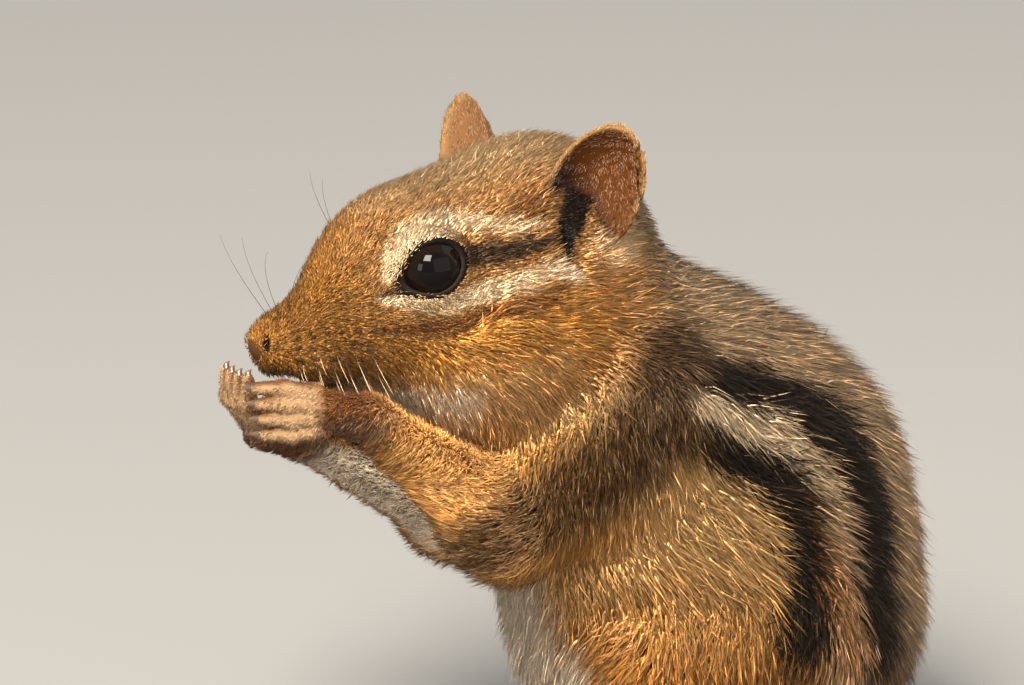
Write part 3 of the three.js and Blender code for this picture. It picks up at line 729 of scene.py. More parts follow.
def face_paint(colour, places, normals):
    head = in_head(places)
    forward, out, up = head[..., 0], np.abs(head[..., 1]), head[..., 2]
    below = -(normals @ HEAD_AXES.T)[..., 2]
    chin = ramp(below, 0.5, 0.85) * ramp(-up, 6, 8) * ramp(-forward, -27, -20)
    throat = ramp(-up, 8.6, 10) * ramp(forward, 12, 15) * ramp(below, -0.4, 0.0)
    follicles = [at for first, last, count, _ in PAD_ROWS for at in np.linspace(first, last, count)[:, (0, 2)]]
    return painted(
        colour,
        ("crown_top", ramp(up, 7.5, 11.5) * 0.8),
        ("muzzle", ramp(forward, 17, 25)),
        ("cheek", ramp(-up, 0.5, 4.0) * ramp(out, 3, 6) * ramp(forward, -6, 3)),
        *((tone, line_mask(head, course, half) * share) for tone, course, half, share in FACE_STREAKS),
        # painted light: the lower cheek is paled a little where the head's shadow falls on it
        ("brow_pale", ramp(-up, 6.5, 9) * ramp(forward, 1, 6) * 0.2),
        ("white", np.maximum(chin, throat)),
        *(("whisker", spot_mask(head, at, 0.1, 0.5) * ramp(out, 2, 4) * 0.8) for at in follicles),
        *((tone, spot_mask(head, at, start, stop) * ramp(out, 4, 7) * share)
          for tone, at, start, stop, share in FACE_SPOTS),
    )


def ear_paint(colour, places):
    for name, side in SIDES.items():
        local, ratio, hollow = in_ear(name, places)
        # painted shade: the inside of the cup darkens toward its bottom, and the ear canal is painted near-black as
        # shade
        cup_shade = ramp(-local[..., 1] - 0.8 * local[..., 0], -1.5, 5)
        tone = np.where(hollow[..., None], mixed(TONE["ear_inside"], "mouth", cup_shade), TONE["ear_back"])
        tone = mixed(tone, "ear_rim", ramp(ratio, 0.9, 1.0) * ramp(local[..., 1], -3, 1))
        on_ear = fade(ear_distance(name, places), 0.1, 0.5) * ramp(local[..., 1], -5.5, -3.5)
        colour = painted(colour, (tone, on_ear), ("mouth", fade(pit(places, **EAR_CANAL, side=side), 0.05, 0.5)))
    return colour


def bare_paint(colour, places):
    """Lids and nose, and painted shade in the hollows of the lips and the nostrils."""
    for side in SIDES.values():
        margin, height, span = lid_margin(side, places)
        near = fade(span, EYE_RADIUS + 0.9, EYE_RADIUS + 1.6)
        upper = ramp(height, -0.1, 0.5)
        colour = painted(
            colour,
            ("lid", fade(margin, 0.3 + 0.3 * upper, 0.55 + 0.4 * upper) * near),
            ("lid_rim", fade(np.abs(margin), 0.02, 0.14) * near * (1 - upper)),
            # painted shade in the nostrils and the cleft of the lip
            ("mouth", fade(pit(places, **NOSTRIL, side=side), 0, 0.3)),
            ("mouth", fade(pit(places, **LIP_CLEFT, side=side), 0, 0.3)),
        )
    return painted(
        colour,
        ("lid", line_mask(in_head(places), EYE_CORNER, (0.5, 0.1)) * 0.9),
        ("nose", fade(pit(places, **NOSE_TIP), 0.1, 0.7) * 0.8),
        # painted shade in the open mouth
        ("mouth", fade(pit(places, **MOUTH), 0.05, 0.35)),
    )


def limb_paint(colour, places, normals):
    for name, side in SIDES.items():
        upper, fore, *palm = ARMS[name]
        upper, fore, hand = (run_together(masses, places) for masses in ([upper], [fore], palm))
        on_fore = fade(fore, 0.3, 1.2)
        inner = ramp(normals[..., 1] * side - 0.5 * normals[..., 2], 0.45, 0.8)
        beyond = in_head(places) - PALM[name]
        near_wrist = fade(length_of(beyond + (0.8, 0, 1.2)), 3, 7.5)
        fingers = fade(hand, 0.15, 0.6) * ramp(beyond @ unit(HAND_WAYS[name]["reach"]), 0.6, 2.4)
        finger_side_shade = np.abs(normals @ head_way(HAND_WAYS[name]["across"]))
        colour = painted(
            colour,
            ("arm", fade(upper, 0.5, 3) * ramp(length_of(places - SHOULDER[name]), 4, 12)),
            ("arm", on_fore),
            ("belly", on_fore * inner),
            ("wrist", near_wrist * fade(np.minimum(fore, hand), 0.3, 1.2) * 0.9),
            ("finger", fingers),
            # painted shade: the fingers' sides are darkened with the wrist's rust, as dark lines between the fingers
            ("wrist", fingers * ramp(finger_side_shade, 0.45, 0.9) * 0.85),
            ("foot", fade(run_together(LEGS[name], places), 0.3, 1.2)),
        )
    return colour


def tail_paint(colour, places, normals):
    on_tail = fade(run_together(TAIL, places), 0.5, 3) * ramp(places[..., 0], 32, 42)
    return mixed(colour, mixed(TONE["tail_under"], "tail_top", ramp(normals[..., 2], -0.2, 0.5)), on_tail)


CREASE_SHADE_COURSE = ((5, 50.5), (3.4, 46), (-1, 41.5), (-6, 38.4), (-11, 35.6), (-14.5, 33.6))  # x and z of the painted shade behind the upper arm


def crease_shade_mask(places):
    """Painted shade along the crease that runs from under the cheek down behind the upper arm."""
    course, at = np.array(CREASE_SHADE_COURSE), places[..., (0, 2)]
    off = np.min([length_of(along_segment(at, a, b)[1]) for a, b in zip(course, course[1:])], axis=0)
    return fade(off, 2, 5.6) * ramp(np.abs(places[..., 1]), 7, 11)


def coat_paint(places, normals):
    """The coat's colour at each place."""
    down, around, _ = on_back(places)
    head = in_head(places)
    stripes = {name: stripe_mask(places, stripe) for name, stripe in STRIPES.items()}
    colour = painted(
        np.broadcast_to(TONE["flank"], places.shape),
        ("haunch", fade(places[..., 2], 16, 36) * 0.9),
        ("grey_back", fade(around, 52, 66)),
        # the rump's dark rust: partly its own colour, partly painted shade on the lower rear of the trunk
        ("rump_rust_and_shade", fade(down, -22, 4) * fade(around, 60, 95) * 0.9),
        ("black", fade(around, 2.5, 5) * ramp(down, -20, 0) * 0.85),
        *((STRIPES[name]["tone"], mask) for name, mask in stripes.items()),
        ("cream_low", stripes["cream"] * fade(down, 8, 40) * 0.9),
    )
    share = fade(-head[..., 0], 5, 14) * ramp(head[..., 2], -16, -8)
    colour = mixed(colour, mixed(TONE["crown"], "nape", ramp(-head[..., 0], 3, 11)), share)
    faced = share > 0.02
    face = face_paint(colour[faced], places[faced], normals[faced])
    colour[faced] = mixed(colour[faced], face, share[faced])
    belly = ramp(normals @ unit((-1, 0, -0.25)), 0.62, 0.82) * fade(places[..., 2], 44, 52)
    # Painted shade in the crease behind the upper arm: half strength under the limbs' colours, stronger over them
    crease = crease_shade_mask(places)
    colour = limb_paint(painted(colour, ("belly", belly), ("crease_shade", crease * 0.5)), places, normals)
    return ear_paint(tail_paint(mixed(colour, "crease_shade", crease * 0.85), places, normals), places)


SKIN_SHADE_GAIN = 0.3  # the whole skin is painted darker than it looks, as painted shade: the coat hardly shades it where it shows between the tufts


def build_skin():
    lines = [
        grid_line(-50, 92, widening(0.3 * COARSER, 0.72 * COARSER, -47, -2)),
        grid_line(-84, 24, widening(0.32 * COARSER, 0.72 * COARSER, -20, 14)),
        grid_line(-1, 80, widening(0.3 * COARSER, 0.66 * COARSER, 42, 80)),
    ]
    places, quads = net_of(skin_distance, lines)
    places = settled(skin_distance, places, 0.15)
    piece = mesh_object("skin", places, [quads])
    normals = unit(slope_of(skin_distance, places)[1])
    colour = bare_paint(coat_paint(places, normals), places)
    # the skin's colours are darkened all over as painted shade
    paint_vertices(piece, colour * SKIN_SHADE_GAIN)
    return piece, places, quads, normals


# The coat: closed three-sided tufts, each rooted in the skin, bent once and drawn to the middle of its clump
TRIANGLE_BUDGET, QUICK_SHARE = 1_430_000, 4
MOST_TRIANGLES = 196_000  # in one piece of the coat
ROOT_LIFT, TIP_LIFT = math.radians(45), math.radians(18)
ROOT_DEPTH = 0.12
LOWEST = 0.03  # no hair comes nearer to the floor
SHORT_HAIR = 0.85  # hair under this length has no bend
SEEN_AT = 0.33  # the share of a tuft's length at which the markings are read
LOOSE_SHARE, LOOSE_LIFT = 0.06, 1.45  # of the tufts, which stand out more
LENGTHS, LIFTS, WIDTHS, PULLS = (0.75, 1.2), (0.75, 1.25), (0.75, 1.3), (0.4, 1.3)  # the spread of each, as factors
SWIRL, STRAY = 0.2, 0.27  # how far the lie of the hair turns from place to place, and from tuft to tuft
CLUMP_SIZE, CLUMP_PULL = 1.3, 0.34
PALEST = 0.92  # the most that a tuft reflects
LIGHT, LIGHT_SPREAD, PATCHINESS, WARMTH = 1.12, 0.24, 0.12, (0.03, 0.0, -0.05)
DARK_TIPS, DARK_TIPS_OF_PALE, PALE_TIPS = 0.24, 0.05, 0.16  # shares of the tufts
DENSEST = 25  # tufts to the square millimetre
rng = np.random.default_rng(7)


def waves(places, period, seed):
    """Three smooth random values at each place, from about -1 to 1."""
    draw = np.random.default_rng(seed)
    total = np.zeros(places.shape)
    for _ in range(5):
        way = unit(draw.normal(size=3)) * 2 * np.pi / (period * draw.uniform(0.7, 1.4))
        total += np.sin(places @ way + draw.uniform(0, 2 * np.pi))[..., None] * draw.normal(size=3)
    return total / 2.5


def bareness(places, normals):
    """How bare the skin is at each place: lids, nose, mouth, palms, soles and the insides of the ears."""
    bare = [places[..., 2] < 0.25, fade(pit(places, **NOSE_TIP), 0, 0.25), fade(pit(places, **MOUTH), 0.05, 0.3)]
    for name, side in SIDES.items():
        margin, _, span = lid_margin(side, places)
        foot, hand = run_together(LEGS[name], places), run_together(ARMS[name][2:], places)
        bare += [
            fade(margin, 0.12, 0.32) * (span < EYE_RADIUS + 2),
            fade(pit(places, **NOSTRIL, side=side), -0.05, 0.1),
            (foot < 0.4) * ramp(-normals[..., 2], 0.1, 0.5),
            (hand < 0.3) * ramp(-normals @ head_way(HAND_WAYS[name]["back"]), 0.2, 0.6),
        ]
    return np.max(bare, axis=0)


def scattered(places, quads, density):
    """Random places on the net, so many to the square millimetre: three corners and their weights for each."""
    corners = np.stack((quads[:, (0, 1, 2)], quads[:, (0, 2, 3)]), 1).reshape(-1, 3)
    a, b, c = places[corners].transpose(1, 0, 2)
    area = np.linalg.norm(np.cross(b - a, c - a), axis=1) / 2
    counts = np.cumsum(area * density[corners].mean(1))
    picks = np.searchsorted(counts, np.arange(int(counts[-1])) + rng.random(int(counts[-1])))
    first, second = rng.random((2, len(picks)))
    fold = first + second > 1
    first, second = np.where(fold, 1 - first, first), np.where(fold, 1 - second, second)
    return corners[np.minimum(picks, len(corners) - 1)], np.stack((1 - first - second, first, second), 1)


def around_axis(offset, axis):
    """The angle of an offset round an axis, as a share of a turn."""
    axis = unit(axis)
    side = unit(np.cross(axis, (0.1, 0.2, 1)))
    return np.arctan2(offset @ np.cross(axis, side), offset @ side) / (2 * np.pi) + 0.5


def unwrapped(places, name):
    """Each place's own place on the unrolled skin of its chart."""
    if name == "head":
        local = in_head(places)
        return np.stack((np.arctan2(local[:, 1], local[:, 2] + 2) / (2 * np.pi) + 0.5, local[:, 0]), 1)
    if name == "trunk":
        return np.stack((np.arctan2(places[:, 1], places[:, 0] - 8) / (2 * np.pi) + 0.5, places[:, 2]), 1)
    if name.startswith("ear"):
        local, _, hollow = in_ear(name[4:], places)
        return np.stack((local[:, 0] + hollow * EAR_HALF_WIDTH * 2.5, local[:, 1]), 1)
    masses = [mass for mass in MASSES if mass.chart == name]
    nearest = np.stack([mass.distance(places) for mass in masses]).argmin(0)
    flat = np.zeros((len(places), 2))
    for number, mass in enumerate(masses):
        here = nearest == number
        flat[here, 0] = around_axis(places[here] - mass.ends[0], mass.ends[1] - mass.ends[0])
        flat[here, 1] = number + along_segment(places[here], *mass.ends)[0] * 0.9
    return flat


def tuft_shades(colour, gains, places):
    """Each tuft's colour at its root, its middle and its tip: some tips are dark and some are pale."""
    count = len(colour)
    light = LIGHT + LIGHT_SPREAD * rng.normal(size=(count, 1)) + PATCHINESS * waves(places, 2.2, 31)[:, :1]
    warm = 1 + rng.normal(size=(count, 1)) * WARMTH
    plain = np.maximum(colour * gains * np.maximum(light, 0.35) * warm, 0.004)
    bright = colour.mean(1, keepdims=True)
    kind = rng.random(count)[:, None]
    dark = kind < np.where(bright < 0.3, DARK_TIPS, DARK_TIPS_OF_PALE)
    pale = (kind > 1 - PALE_TIPS) & (bright > 0.03)
    # the root is darker: partly the underfur's own grey, partly painted shade deep in the coat
    root = plain * (0.66 + 0.2 * ramp(bright, 0.25, 0.5))
    middle = np.where(dark, plain * 0.6, plain)
    tip = np.where(dark, plain * 0.28, plain * 1.2)
    tip = np.where(pale, plain * 0.55 + TONE["brow_pale"] * 0.4 * gains, tip)
    return [tone / np.maximum(tone.max(1, keepdims=True) / PALEST, 1) for tone in (root, middle, tip)]


LONG_FACES = np.array([(2, 1, 0), (0, 1, 4), (0, 4, 3), (1, 2, 4), (2, 0, 3), (2, 3, 4), (3, 4, 5), (4, 3, 5)])
SHORT_FACES = np.array([(2, 1, 0), (0, 1, 3), (1, 2, 3), (2, 0, 3)])
PATCH = 0.003
LONG_PATCH = np.array([(-0.5, -0.5), (0.5, -0.5), (0.05, -0.25), (-0.35, 0.1), (0.35, 0.1), (0, 0.5)]) * PATCH
SHORT_CORNERS = [0, 1, 2, 5]
SHORT_PATCH = LONG_PATCH[SHORT_CORNERS]


def clumped(roots, tips):
    """Tips drawn toward the tip of the tuft at the middle of their clump."""
    cells = np.floor(roots / CLUMP_SIZE).astype(np.int64)
    key = cells @ (1, 1 << 20, 1 << 40)
    _, middles = np.unique(key, return_index=True)
    tree = kdtree.KDTree(len(middles))
    for number, place in enumerate(roots[middles]):
        tree.insert(place, number)
    tree.balance()
    nearest = middles[[tree.find(place)[1] for place in roots]]
    gap = tips[nearest] - tips
    pull = CLUMP_PULL * rng.uniform(*PULLS, (len(roots), 1))
    return tips + gap * pull * np.minimum(1, CLUMP_SIZE / np.maximum(length_of(gap), 1e-6))[:, None]


def flattened(ways, normals):
    """The part of each way that runs along the skin."""
    return ways - (ways * normals).sum(1, keepdims=True) * normals


def tuft_arrays(roots, normals, lie, hair, width):
    """The corners of each tuft: three at the root, two at the bend and one at the tip."""
    swirl = waves(roots, 9, 3) * SWIRL + rng.normal(size=roots.shape) * STRAY
    ways = unit(flattened(unit(flattened(lie, normals)) + swirl, normals))
    across = np.cross(normals, ways)
    half_length = hair[:, None] * rng.uniform(*LENGTHS, (len(roots), 1)) * 0.5
    lift = rng.uniform(*LIFTS, (len(roots), 1)) * np.interp(hair, (0.5, 1, 5.6, 7), (0.6, 1, 1, 0.35))[:, None]
    lift = np.where(rng.random(lift.shape) < LOOSE_SHARE, lift * LOOSE_LIFT, lift)
    start = roots - normals * ROOT_DEPTH
    bend = start + half_length * (np.cos(ROOT_LIFT * lift) * ways + np.sin(ROOT_LIFT * lift) * normals)
    tip = bend + half_length * (np.cos(TIP_LIFT * lift) * ways + np.sin(TIP_LIFT * lift) * normals)
    tip = clumped(roots, tip)
    bend = bend + (tip - start - (bend - start) * 2) * 0.15
    half = width[:, None] / 2
    low = [start + across * half, start - across * half, start + normals * half * 0.9 - ways * half * 0.4]
    high = [bend + across * half * 0.8 + normals * half * 0.2, bend - across * half * 0.8 + normals * half * 0.2]
    corners = np.stack((*low, *high, tip), 1)
    corners[..., 2] = np.maximum(corners[..., 2], LOWEST)
    return corners


def add_coat_piece(name, corners, faces, patch, shades, flat):
    count, each = corners.shape[:2]
    index = (np.arange(count)[:, None, None] * each + faces).reshape(-1, 3)
    piece = mesh_object(name, corners.reshape(-1, 3), [index])
    paint_vertices(piece, shades.reshape(-1, 3))
    low, high = flat.min(0), flat.max(0)
    flat = PATCH + (flat - low) / (high - low) * (1 - 2 * PATCH)
    spots = (flat[:, None] + patch).reshape(-1, 2)
    piece.data.uv_layers.new(name="OFBake").data.foreach_set("uv", spots[index.ravel()].astype(np.float32).ravel())
    return piece


def coat_groups():
    """The charts of each group of coat pieces, laid side by side on its map."""
    limbs = [chart for chart in CHARTS if chart.startswith(("arm", "leg", "ear"))]
    return {"head": ["head"], "trunk": ["trunk"], "tail": ["tail"], "limbs": limbs}


def laid_out(places, chart, names):
    """Places on the map of a group, with each chart in its own column."""
    flat = np.zeros((len(places), 2))
    for column, name in enumerate(names):
        here = chart == CHARTS.index(name)
        if here.any():
            part = unwrapped(places[here], name)
            part = (part - part.min(0)) / np.maximum(np.ptp(part, axis=0), 1e-6)
            flat[here] = (part * (0.9, 1) + (column, 0)) / (len(names), 1)
    return flat


def gain(hair):
    """How much paler a coat is painted than it looks: long hair shades itself, and short hair hardly does."""
    return np.interp(hair, (0.3, 1, 2, 3.5, 5), (0.4, 0.62, 0.85, 1.15, 1.35))


def add_coat(places, quads, normals):
    hair, lie, chart = coat_traits(places)
    density = np.minimum(34 * hair**-0.65, DENSEST) * (1 - bareness(places, normals))
    corners, weights = scattered(places, quads, density)
    faces_each = np.where(hair[corners[:, 0]] < SHORT_HAIR, len(SHORT_FACES), len(LONG_FACES))
    budget = TRIANGLE_BUDGET / 1
    if faces_each.sum() > budget:
        keep = rng.random(len(corners)) < budget / faces_each.sum()
        corners, weights = corners[keep], weights[keep]
    roots, root_normals, root_lie = ((values[corners] * weights[..., None]).sum(1)
                                     for values in (places, normals, lie))
    root_normals = unit(root_normals)
    root_hair = (hair[corners] * weights).sum(1)
    root_chart = chart[corners[:, 0]]
    width = np.interp(root_hair, (0.4, 1, 2.5, 6), (0.11, 0.14, 0.17, 0.22)) * rng.uniform(*WIDTHS, len(roots))
    tufts = tuft_arrays(roots, root_normals, root_lie, root_hair, width)
    way = unit(flattened(root_lie, root_normals))
    seen = roots + root_hair[:, None] * (way * SEEN_AT + rng.normal(size=roots.shape) * 0.07)
    colour = coat_paint(seen, root_normals)
    shades = np.stack(tuft_shades(colour, gain(root_hair)[:, None], roots), 1)
    pieces = []
    for group, names in coat_groups().items():
        in_group = np.isin(root_chart, [CHARTS.index(name) for name in names])
        for kind, faces, patch, picks in (("long", LONG_FACES, LONG_PATCH, [0, 1, 2, 3, 4, 5]),
                                          ("short", SHORT_FACES, SHORT_PATCH, SHORT_CORNERS)):
            chosen = np.flatnonzero(in_group & ((root_hair < SHORT_HAIR) == (kind == "short")))
            if not len(chosen):
                continue
            flat = laid_out(roots[chosen], root_chart[chosen], names)
            order = np.argsort(flat[:, 0], kind="stable")
            parts = math.ceil(len(chosen) * len(faces) / MOST_TRIANGLES)
            for number, part in enumerate(np.array_split(order, parts), 1):
                here = chosen[part]
                tone = shades[here][:, np.array((0, 0, 0, 1, 1, 2))[picks]]
                name = f"coat_{group}_{kind}_{number}"
                pieces.append(add_coat_piece(name, tufts[here][:, picks], faces, patch, tone, flat[part]))
    return pieces


# Eyes: a ball with a risen cornea
EYE_RINGS, EYE_SIDES = 40, 64
PUPIL_EDGE, IRIS_EDGE = (26, 30), (44, 50)  # in degrees from the middle of the cornea


def add_eye(name):
    side = SIDES[name]
    angle = np.linspace(0, np.pi, EYE_RINGS + 1)[1:-1, None]
    turned = np.linspace(0, 2 * np.pi, EYE_SIDES, endpoint=False)
    radius = EYE_RADIUS + CORNEA["rise"] * fade(angle, CORNEA["half_width"] * 0.5, CORNEA["half_width"])
    local = np.stack(np.broadcast_arrays(radius * np.sin(angle) * np.cos(turned),
                                         radius * np.sin(angle) * np.sin(turned), radius * np.cos(angle)), -1)
    poles = np.array(((0, 0, EYE_RADIUS + CORNEA["rise"]), (0, 0, -EYE_RADIUS)))
    local = np.concatenate((local.reshape(-1, 3), poles))
    places = head_point(local @ eye_axes(side) + mirrored(EYE_AT, side))
    piece = mesh_object("eyeball_" + name, places, tube_faces(EYE_RINGS - 1, EYE_SIDES))
    from_middle = np.degrees(np.arctan2(np.hypot(local[:, 0], local[:, 1]), local[:, 2]))
    iris = ramp(from_middle, *PUPIL_EDGE) * fade(from_middle, *IRIS_EDGE)
    paint_vertices(piece, mixed(TONE["pupil"], "iris", iris))
    return piece


def tube_faces(rings, sides):
    """The quads between rings of corners, and the triangles from the last two corners to the first and last ring."""
    ring = np.arange(rings - 1)[:, None] * sides
    side = np.arange(sides)
    following = (side + 1) % sides
    here, beside = ring + side, ring + following
    quads = np.stack((here, here + sides, beside + sides, beside), -1).reshape(-1, 4)
    first, end = np.full(sides, rings * sides), (rings - 1) * sides
    caps = np.concatenate((np.stack((first, side, following), -1),
                           np.stack((first + 1, end + following, end + side), -1)))
    return quads, caps


def tapered_tubes(courses, radii, sides, flatness=1.0):
    """Corners and faces of closed round tubes: a course of places and a radius at each place of it for every tube."""
    places, quads, caps = [], [], []
    count = 0
    for course, radius in zip(courses, radii):
        way = unit(np.gradient(course, axis=0))
        across = unit(np.cross(way, (0.05, 0.1, 1)))
        up = np.cross(across, way)
        angle = np.linspace(0, 2 * np.pi, sides, endpoint=False)[:, None]
        rings = [middle + r * (np.cos(angle) * a / flatness + np.sin(angle) * b)
                 for middle, r, a, b in zip(course, radius, across, up)]
        places += [*rings, course[:1] - way[:1] * radius[0] * 0.3, course[-1:] + way[-1:] * radius[-1]]
        tube_quads, tube_caps = tube_faces(len(course), sides)
        quads.append(tube_quads + count)
        caps.append(tube_caps + count)
        count += len(course) * sides + 2
    return np.concatenate(places), [np.concatenate(quads), np.concatenate(caps)]


# Claws: hooked cones, one piece to a paw
CLAW_STEPS, CLAW_SIDES = 8, 10
HAND_CLAW_SHARE = {"left": 0.7, "right": 0.3}  # the hands' claws are worn


def add_claws(name, digits, length, hook):
    courses, radii = [], []
    share = np.linspace(0, 1, CLAW_STEPS)[:, None]
    for joint, tip, radius in digits:
        way = unit(tip - joint)
        bent = unit(way + hook)
        start = tip + way * (radius * 0.45)
        reach = length + radius * 0.5
        courses.append(start + reach * (share * way + share**2 * (bent - way) * 0.9))
        radii.append(CLAW_RADIUS * (1 - share[:, 0] ** 1.4) + 0.03)
    places, faces = tapered_tubes(courses, radii, CLAW_SIDES, 1.35)
    piece = mesh_object(name, places, faces)
    along = np.tile(np.concatenate((np.repeat(share[:, 0], CLAW_SIDES), (0, 1))), len(digits))
    paint_vertices(piece, mixed(TONE["claw"], "claw_tip", along))
    return piece


def add_all_claws():
    pieces = {}
    for name, side in SIDES.items():
        fingers = [(joint, tip, FINGER_RADII[2]) for _, joint, tip in finger_joints(name)]
        length, hook = FINGER_CLAW * HAND_CLAW_SHARE[name], -head_way(HAND_WAYS[name]["back"]) * FINGER_HOOK[name]
        pieces["finger_claw_" + name] = add_claws("claws_hand_" + name, fingers, length, hook)
        toes = [(root, tip, TOE_RADII[1]) for root, tip in toe_joints(side)]
        pieces["toe_claw_" + name] = add_claws("claws_foot_" + name, toes, TOE_CLAW, np.array((0, 0, -TOE_HOOK)))
    return pieces


# Whiskers: rows on the pads, a few over the eye and one on the cheek
WHISKER_STEPS, WHISKER_SIDES = 14, 5
WHISKER_RADIUS, WHISKER_TIP_RADIUS = 0.022, 0.009
LONE_WHISKERS = (((19.6, 6.2, 6.8), (0.3, 0.2, 1), 10), ((18.8, 6.8, 6.2), (0.1, 0.4, 1), 8),
                 ((6.5, 11.6, -1.2), (-0.6, 0.9, 0.5), 9), ((30.2, 2.5, 2.2), (0.4, 0.3, 1), 14),
                 ((29.4, 3.0, 1.6), (0.2, 0.5, 1), 12), ((23.4, 6.6, -1.8), (-0.9, 0.6, -0.2), 19),
                 ((24.6, 6.4, -2.6), (-0.7, 0.8, -0.4), 17))


def add_whiskers(name, side):
    roots, ways, lengths = [], [], []
    for first, last, count, (short, long) in PAD_ROWS:
        for share in np.linspace(0, 1, count):
            jitter = rng.normal(size=3) * 0.2
            roots.append(np.array(first) * (1 - share) + np.array(last) * share + jitter)
            ways.append((0.3 - 0.25 * share, 0.3 + 0.15 * rng.random(), -1 + 0.2 * rng.random()))
            lengths.append(short + (long - short) * share)
    for parts, part in zip((roots, ways, lengths), zip(*LONE_WHISKERS)):
        parts += part
    roots = settled(skin_distance, head_point([mirrored(root, side) for root in roots]), 3)
    ways = head_way([mirrored(way, side) for way in ways])
    sag = head_way(mirrored((-0.4, 0.0, -0.5), side))
    share = np.linspace(0, 1, WHISKER_STEPS)[:, None]
    courses = [root + length * (share * way + share**2 * sag * 0.35)
               for root, way, length in zip(roots, ways, lengths)]
    radii = [WHISKER_RADIUS * (1 - share[:, 0]) ** 0.8 + WHISKER_TIP_RADIUS] * len(courses)
    places, faces = tapered_tubes(courses, radii, WHISKER_SIDES)
    piece = mesh_object("whiskers_" + name, places, faces)
    along = np.concatenate((np.repeat(share[:, 0], WHISKER_SIDES), (0, 1)))
    pale = np.repeat(np.arange(len(courses)) < len(courses) - len(LONE_WHISKERS), len(along))
    along = np.tile(along, len(courses))
    paint_vertices(piece, mixed(TONE["whisker"], "brow_pale", ramp(along, 0.45, 0.75) * pale))
    return piece


# Materials: the painted tint, broken up by noise
BUMP_DEPTH = 0.15 * MM


def set_inputs(node, **values):
    for socket, value in values.items():
        node.inputs[socket.replace("_", " ")].default_value = value


def add_material(name, roughness, specular, noise_scale, noise_depth, bump=0.0):
    material = bpy.data.materials.new(name)
    material.use_nodes = True
    nodes, links = material.node_tree.nodes, material.node_tree.links
    kinds = ("Attribute", "TexCoord", "TexNoise", "MapRange", "Mix")
    tint, place, noise, shade, mix = (nodes.new("ShaderNode" + kind) for kind in kinds)
    shader = nodes["Principled BSDF"]
    tint.attribute_name = "tint"
    mix.data_type, mix.blend_type = "RGBA", "MULTIPLY"
    set_inputs(shader, Roughness=roughness, Specular_IOR_Level=specular)
    set_inputs(noise, Scale=noise_scale, Detail=3)
    set_inputs(shade, To_Min=1 - noise_depth, To_Max=1 + noise_depth)
    set_inputs(mix, Factor=1)
    links.new(place.outputs["Object"], noise.inputs["Vector"])
    links.new(noise.outputs["Fac"], shade.inputs["Value"])
    links.new(tint.outputs["Color"], mix.inputs["A"])
    links.new(shade.outputs["Result"], mix.inputs["B"])
    links.new(mix.outputs["Result"], shader.inputs["Base Color"])
    if bump:
        ridges = nodes.new("ShaderNodeBump")
        set_inputs(ridges, Strength=bump, Distance=BUMP_DEPTH)
        links.new(noise.outputs["Fac"], ridges.inputs["Height"])
        links.new(ridges.outputs["Normal"], shader.inputs["Normal"])
    return material


def finish_piece(piece, material, replaced=()):
    piece.data.materials.append(material)
    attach(piece, "root")
    if replaced:
        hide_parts(*replaced)


skin, skin_places, skin_quads, skin_normals = build_skin()
coat = add_coat(skin_places, skin_quads, skin_normals)
flesh = [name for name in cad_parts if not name.startswith(("eye", "toe_claw", "finger_claw"))]
finish_piece(skin, add_material("skin", 0.62, 0.06, 900, 0.2, bump=0.5), flesh)
hair_material = add_material("hair", 0.5, 0.3, 1500, 0.15)
for piece in coat:
    finish_piece(piece, hair_material)
eye_material = add_material("eye", 0.04, 0.08, 300, 0.1)
claw_material = add_material("claw", 0.35, 0.5, 1200, 0.2, bump=0.2)
for name in SIDES:
    finish_piece(add_eye(name), eye_material, ["eye_" + name])
for stem, piece in add_all_claws().items():
    finish_piece(piece, claw_material, [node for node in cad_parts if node.startswith(stem)])
for name, side in SIDES.items():
    finish_piece(add_whiskers(name, side), hair_material)

# Camera: where the photograph was taken from
AZIMUTH, ELEVATION, AWAY = math.radians(-8), math.radians(15), 900
PIXELS_PER_MM = 9.3
FRAME_WIDTH, FRAME_HEIGHT, SENSOR = 1024, 685, 36
BODY_PIXEL = (600, 790)  # where the middle of the body's axes falls, below the picture's lower edge
CLIP_END = 10


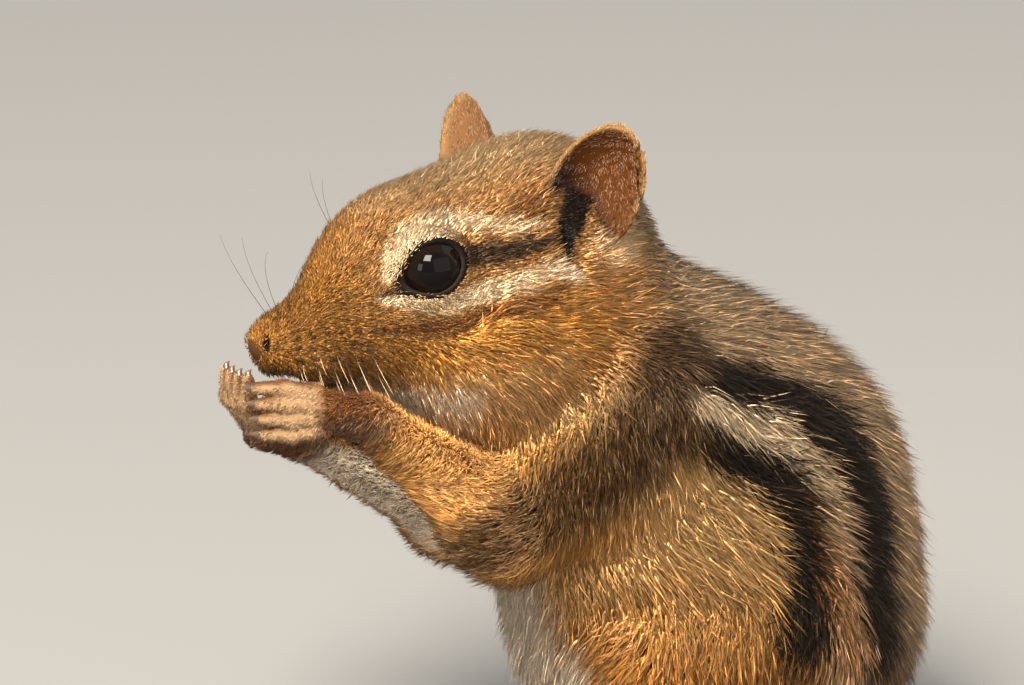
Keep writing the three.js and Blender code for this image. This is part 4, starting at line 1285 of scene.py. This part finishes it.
def add_camera():
    right = np.array((math.cos(AZIMUTH), math.sin(AZIMUTH), 0))
    level = math.cos(ELEVATION)
    back = np.array((math.sin(AZIMUTH) * level, -math.cos(AZIMUTH) * level, math.sin(ELEVATION)))
    up = np.cross(back, right)
    target = (right * ((FRAME_WIDTH / 2 - BODY_PIXEL[0]) / PIXELS_PER_MM)
              + up * ((BODY_PIXEL[1] - FRAME_HEIGHT / 2) / PIXELS_PER_MM))
    data = bpy.data.cameras.new("camera")
    data.sensor_width = SENSOR
    data.lens = AWAY * PIXELS_PER_MM * SENSOR / FRAME_WIDTH
    data.clip_end = CLIP_END
    camera = add_object("camera", data)
    rows = np.column_stack((right, up, back, in_frame(target + back * AWAY)))
    camera.matrix_world = Matrix([*rows.tolist(), [0, 0, 0, 1]])
    bpy.context.scene.camera = camera


add_camera()

# Stage: a pale floor under soft studio light
FLOOR_HALF, FLOOR_ROUGHNESS = 1.2, 0.9
FLOOR_COLOUR = (0.17, 0.167, 0.161, 1)
SKY_COLOUR, SKY_STRENGTH = (1, 0.96, 0.91, 1), 0.65
LIT_PLACE = Vector((0, 0, 0.045))
LIGHTS = {  # the way to each light from the animal, its distance, size, power and colour
    "key": ((-0.3, -0.62, 0.72), 1.3, 0.55, 75, (1.0, 0.94, 0.85)),
    "fill": ((0.6, -0.85, 0.2), 1.2, 1.5, 13, (1.0, 0.95, 0.9)),
    "back": ((0.75, 0.5, 0.6), 1.0, 1.0, 4.5, (1.0, 0.98, 0.95)),
    "low": ((-0.75, -0.65, 0.22), 1.2, 0.45, 7, (1.0, 0.95, 0.88)),
}


def add_floor():
    mesh = bpy.data.meshes.new("floor")
    corners = [(x * FLOOR_HALF, y * FLOOR_HALF, 0) for x, y in ((-1, -1), (1, -1), (1, 1), (-1, 1))]
    mesh.from_pydata(corners, [], [(0, 1, 2, 3)])
    floor = add_object("floor", mesh)
    material = bpy.data.materials.new("floor")
    material.use_nodes = True
    set_inputs(material.node_tree.nodes["Principled BSDF"], Base_Color=FLOOR_COLOUR, Roughness=FLOOR_ROUGHNESS)
    mesh.materials.append(material)


def add_lights():
    for name, (way, distance, size, power, colour) in LIGHTS.items():
        light = bpy.data.lights.new(name, "AREA")
        light.size, light.energy, light.color = size, power, colour
        lamp = add_object(name, light)
        lamp.location = LIT_PLACE + Vector(way).normalized() * distance
        lamp.rotation_euler = (LIT_PLACE - lamp.location).to_track_quat("-Z", "Y").to_euler()
    world = bpy.data.worlds.new("world")
    world.use_nodes = True
    set_inputs(world.node_tree.nodes["Background"], Color=SKY_COLOUR, Strength=SKY_STRENGTH)
    bpy.context.scene.world = world
    bpy.context.scene.view_settings.view_transform = "Standard"


add_floor()
add_lights()
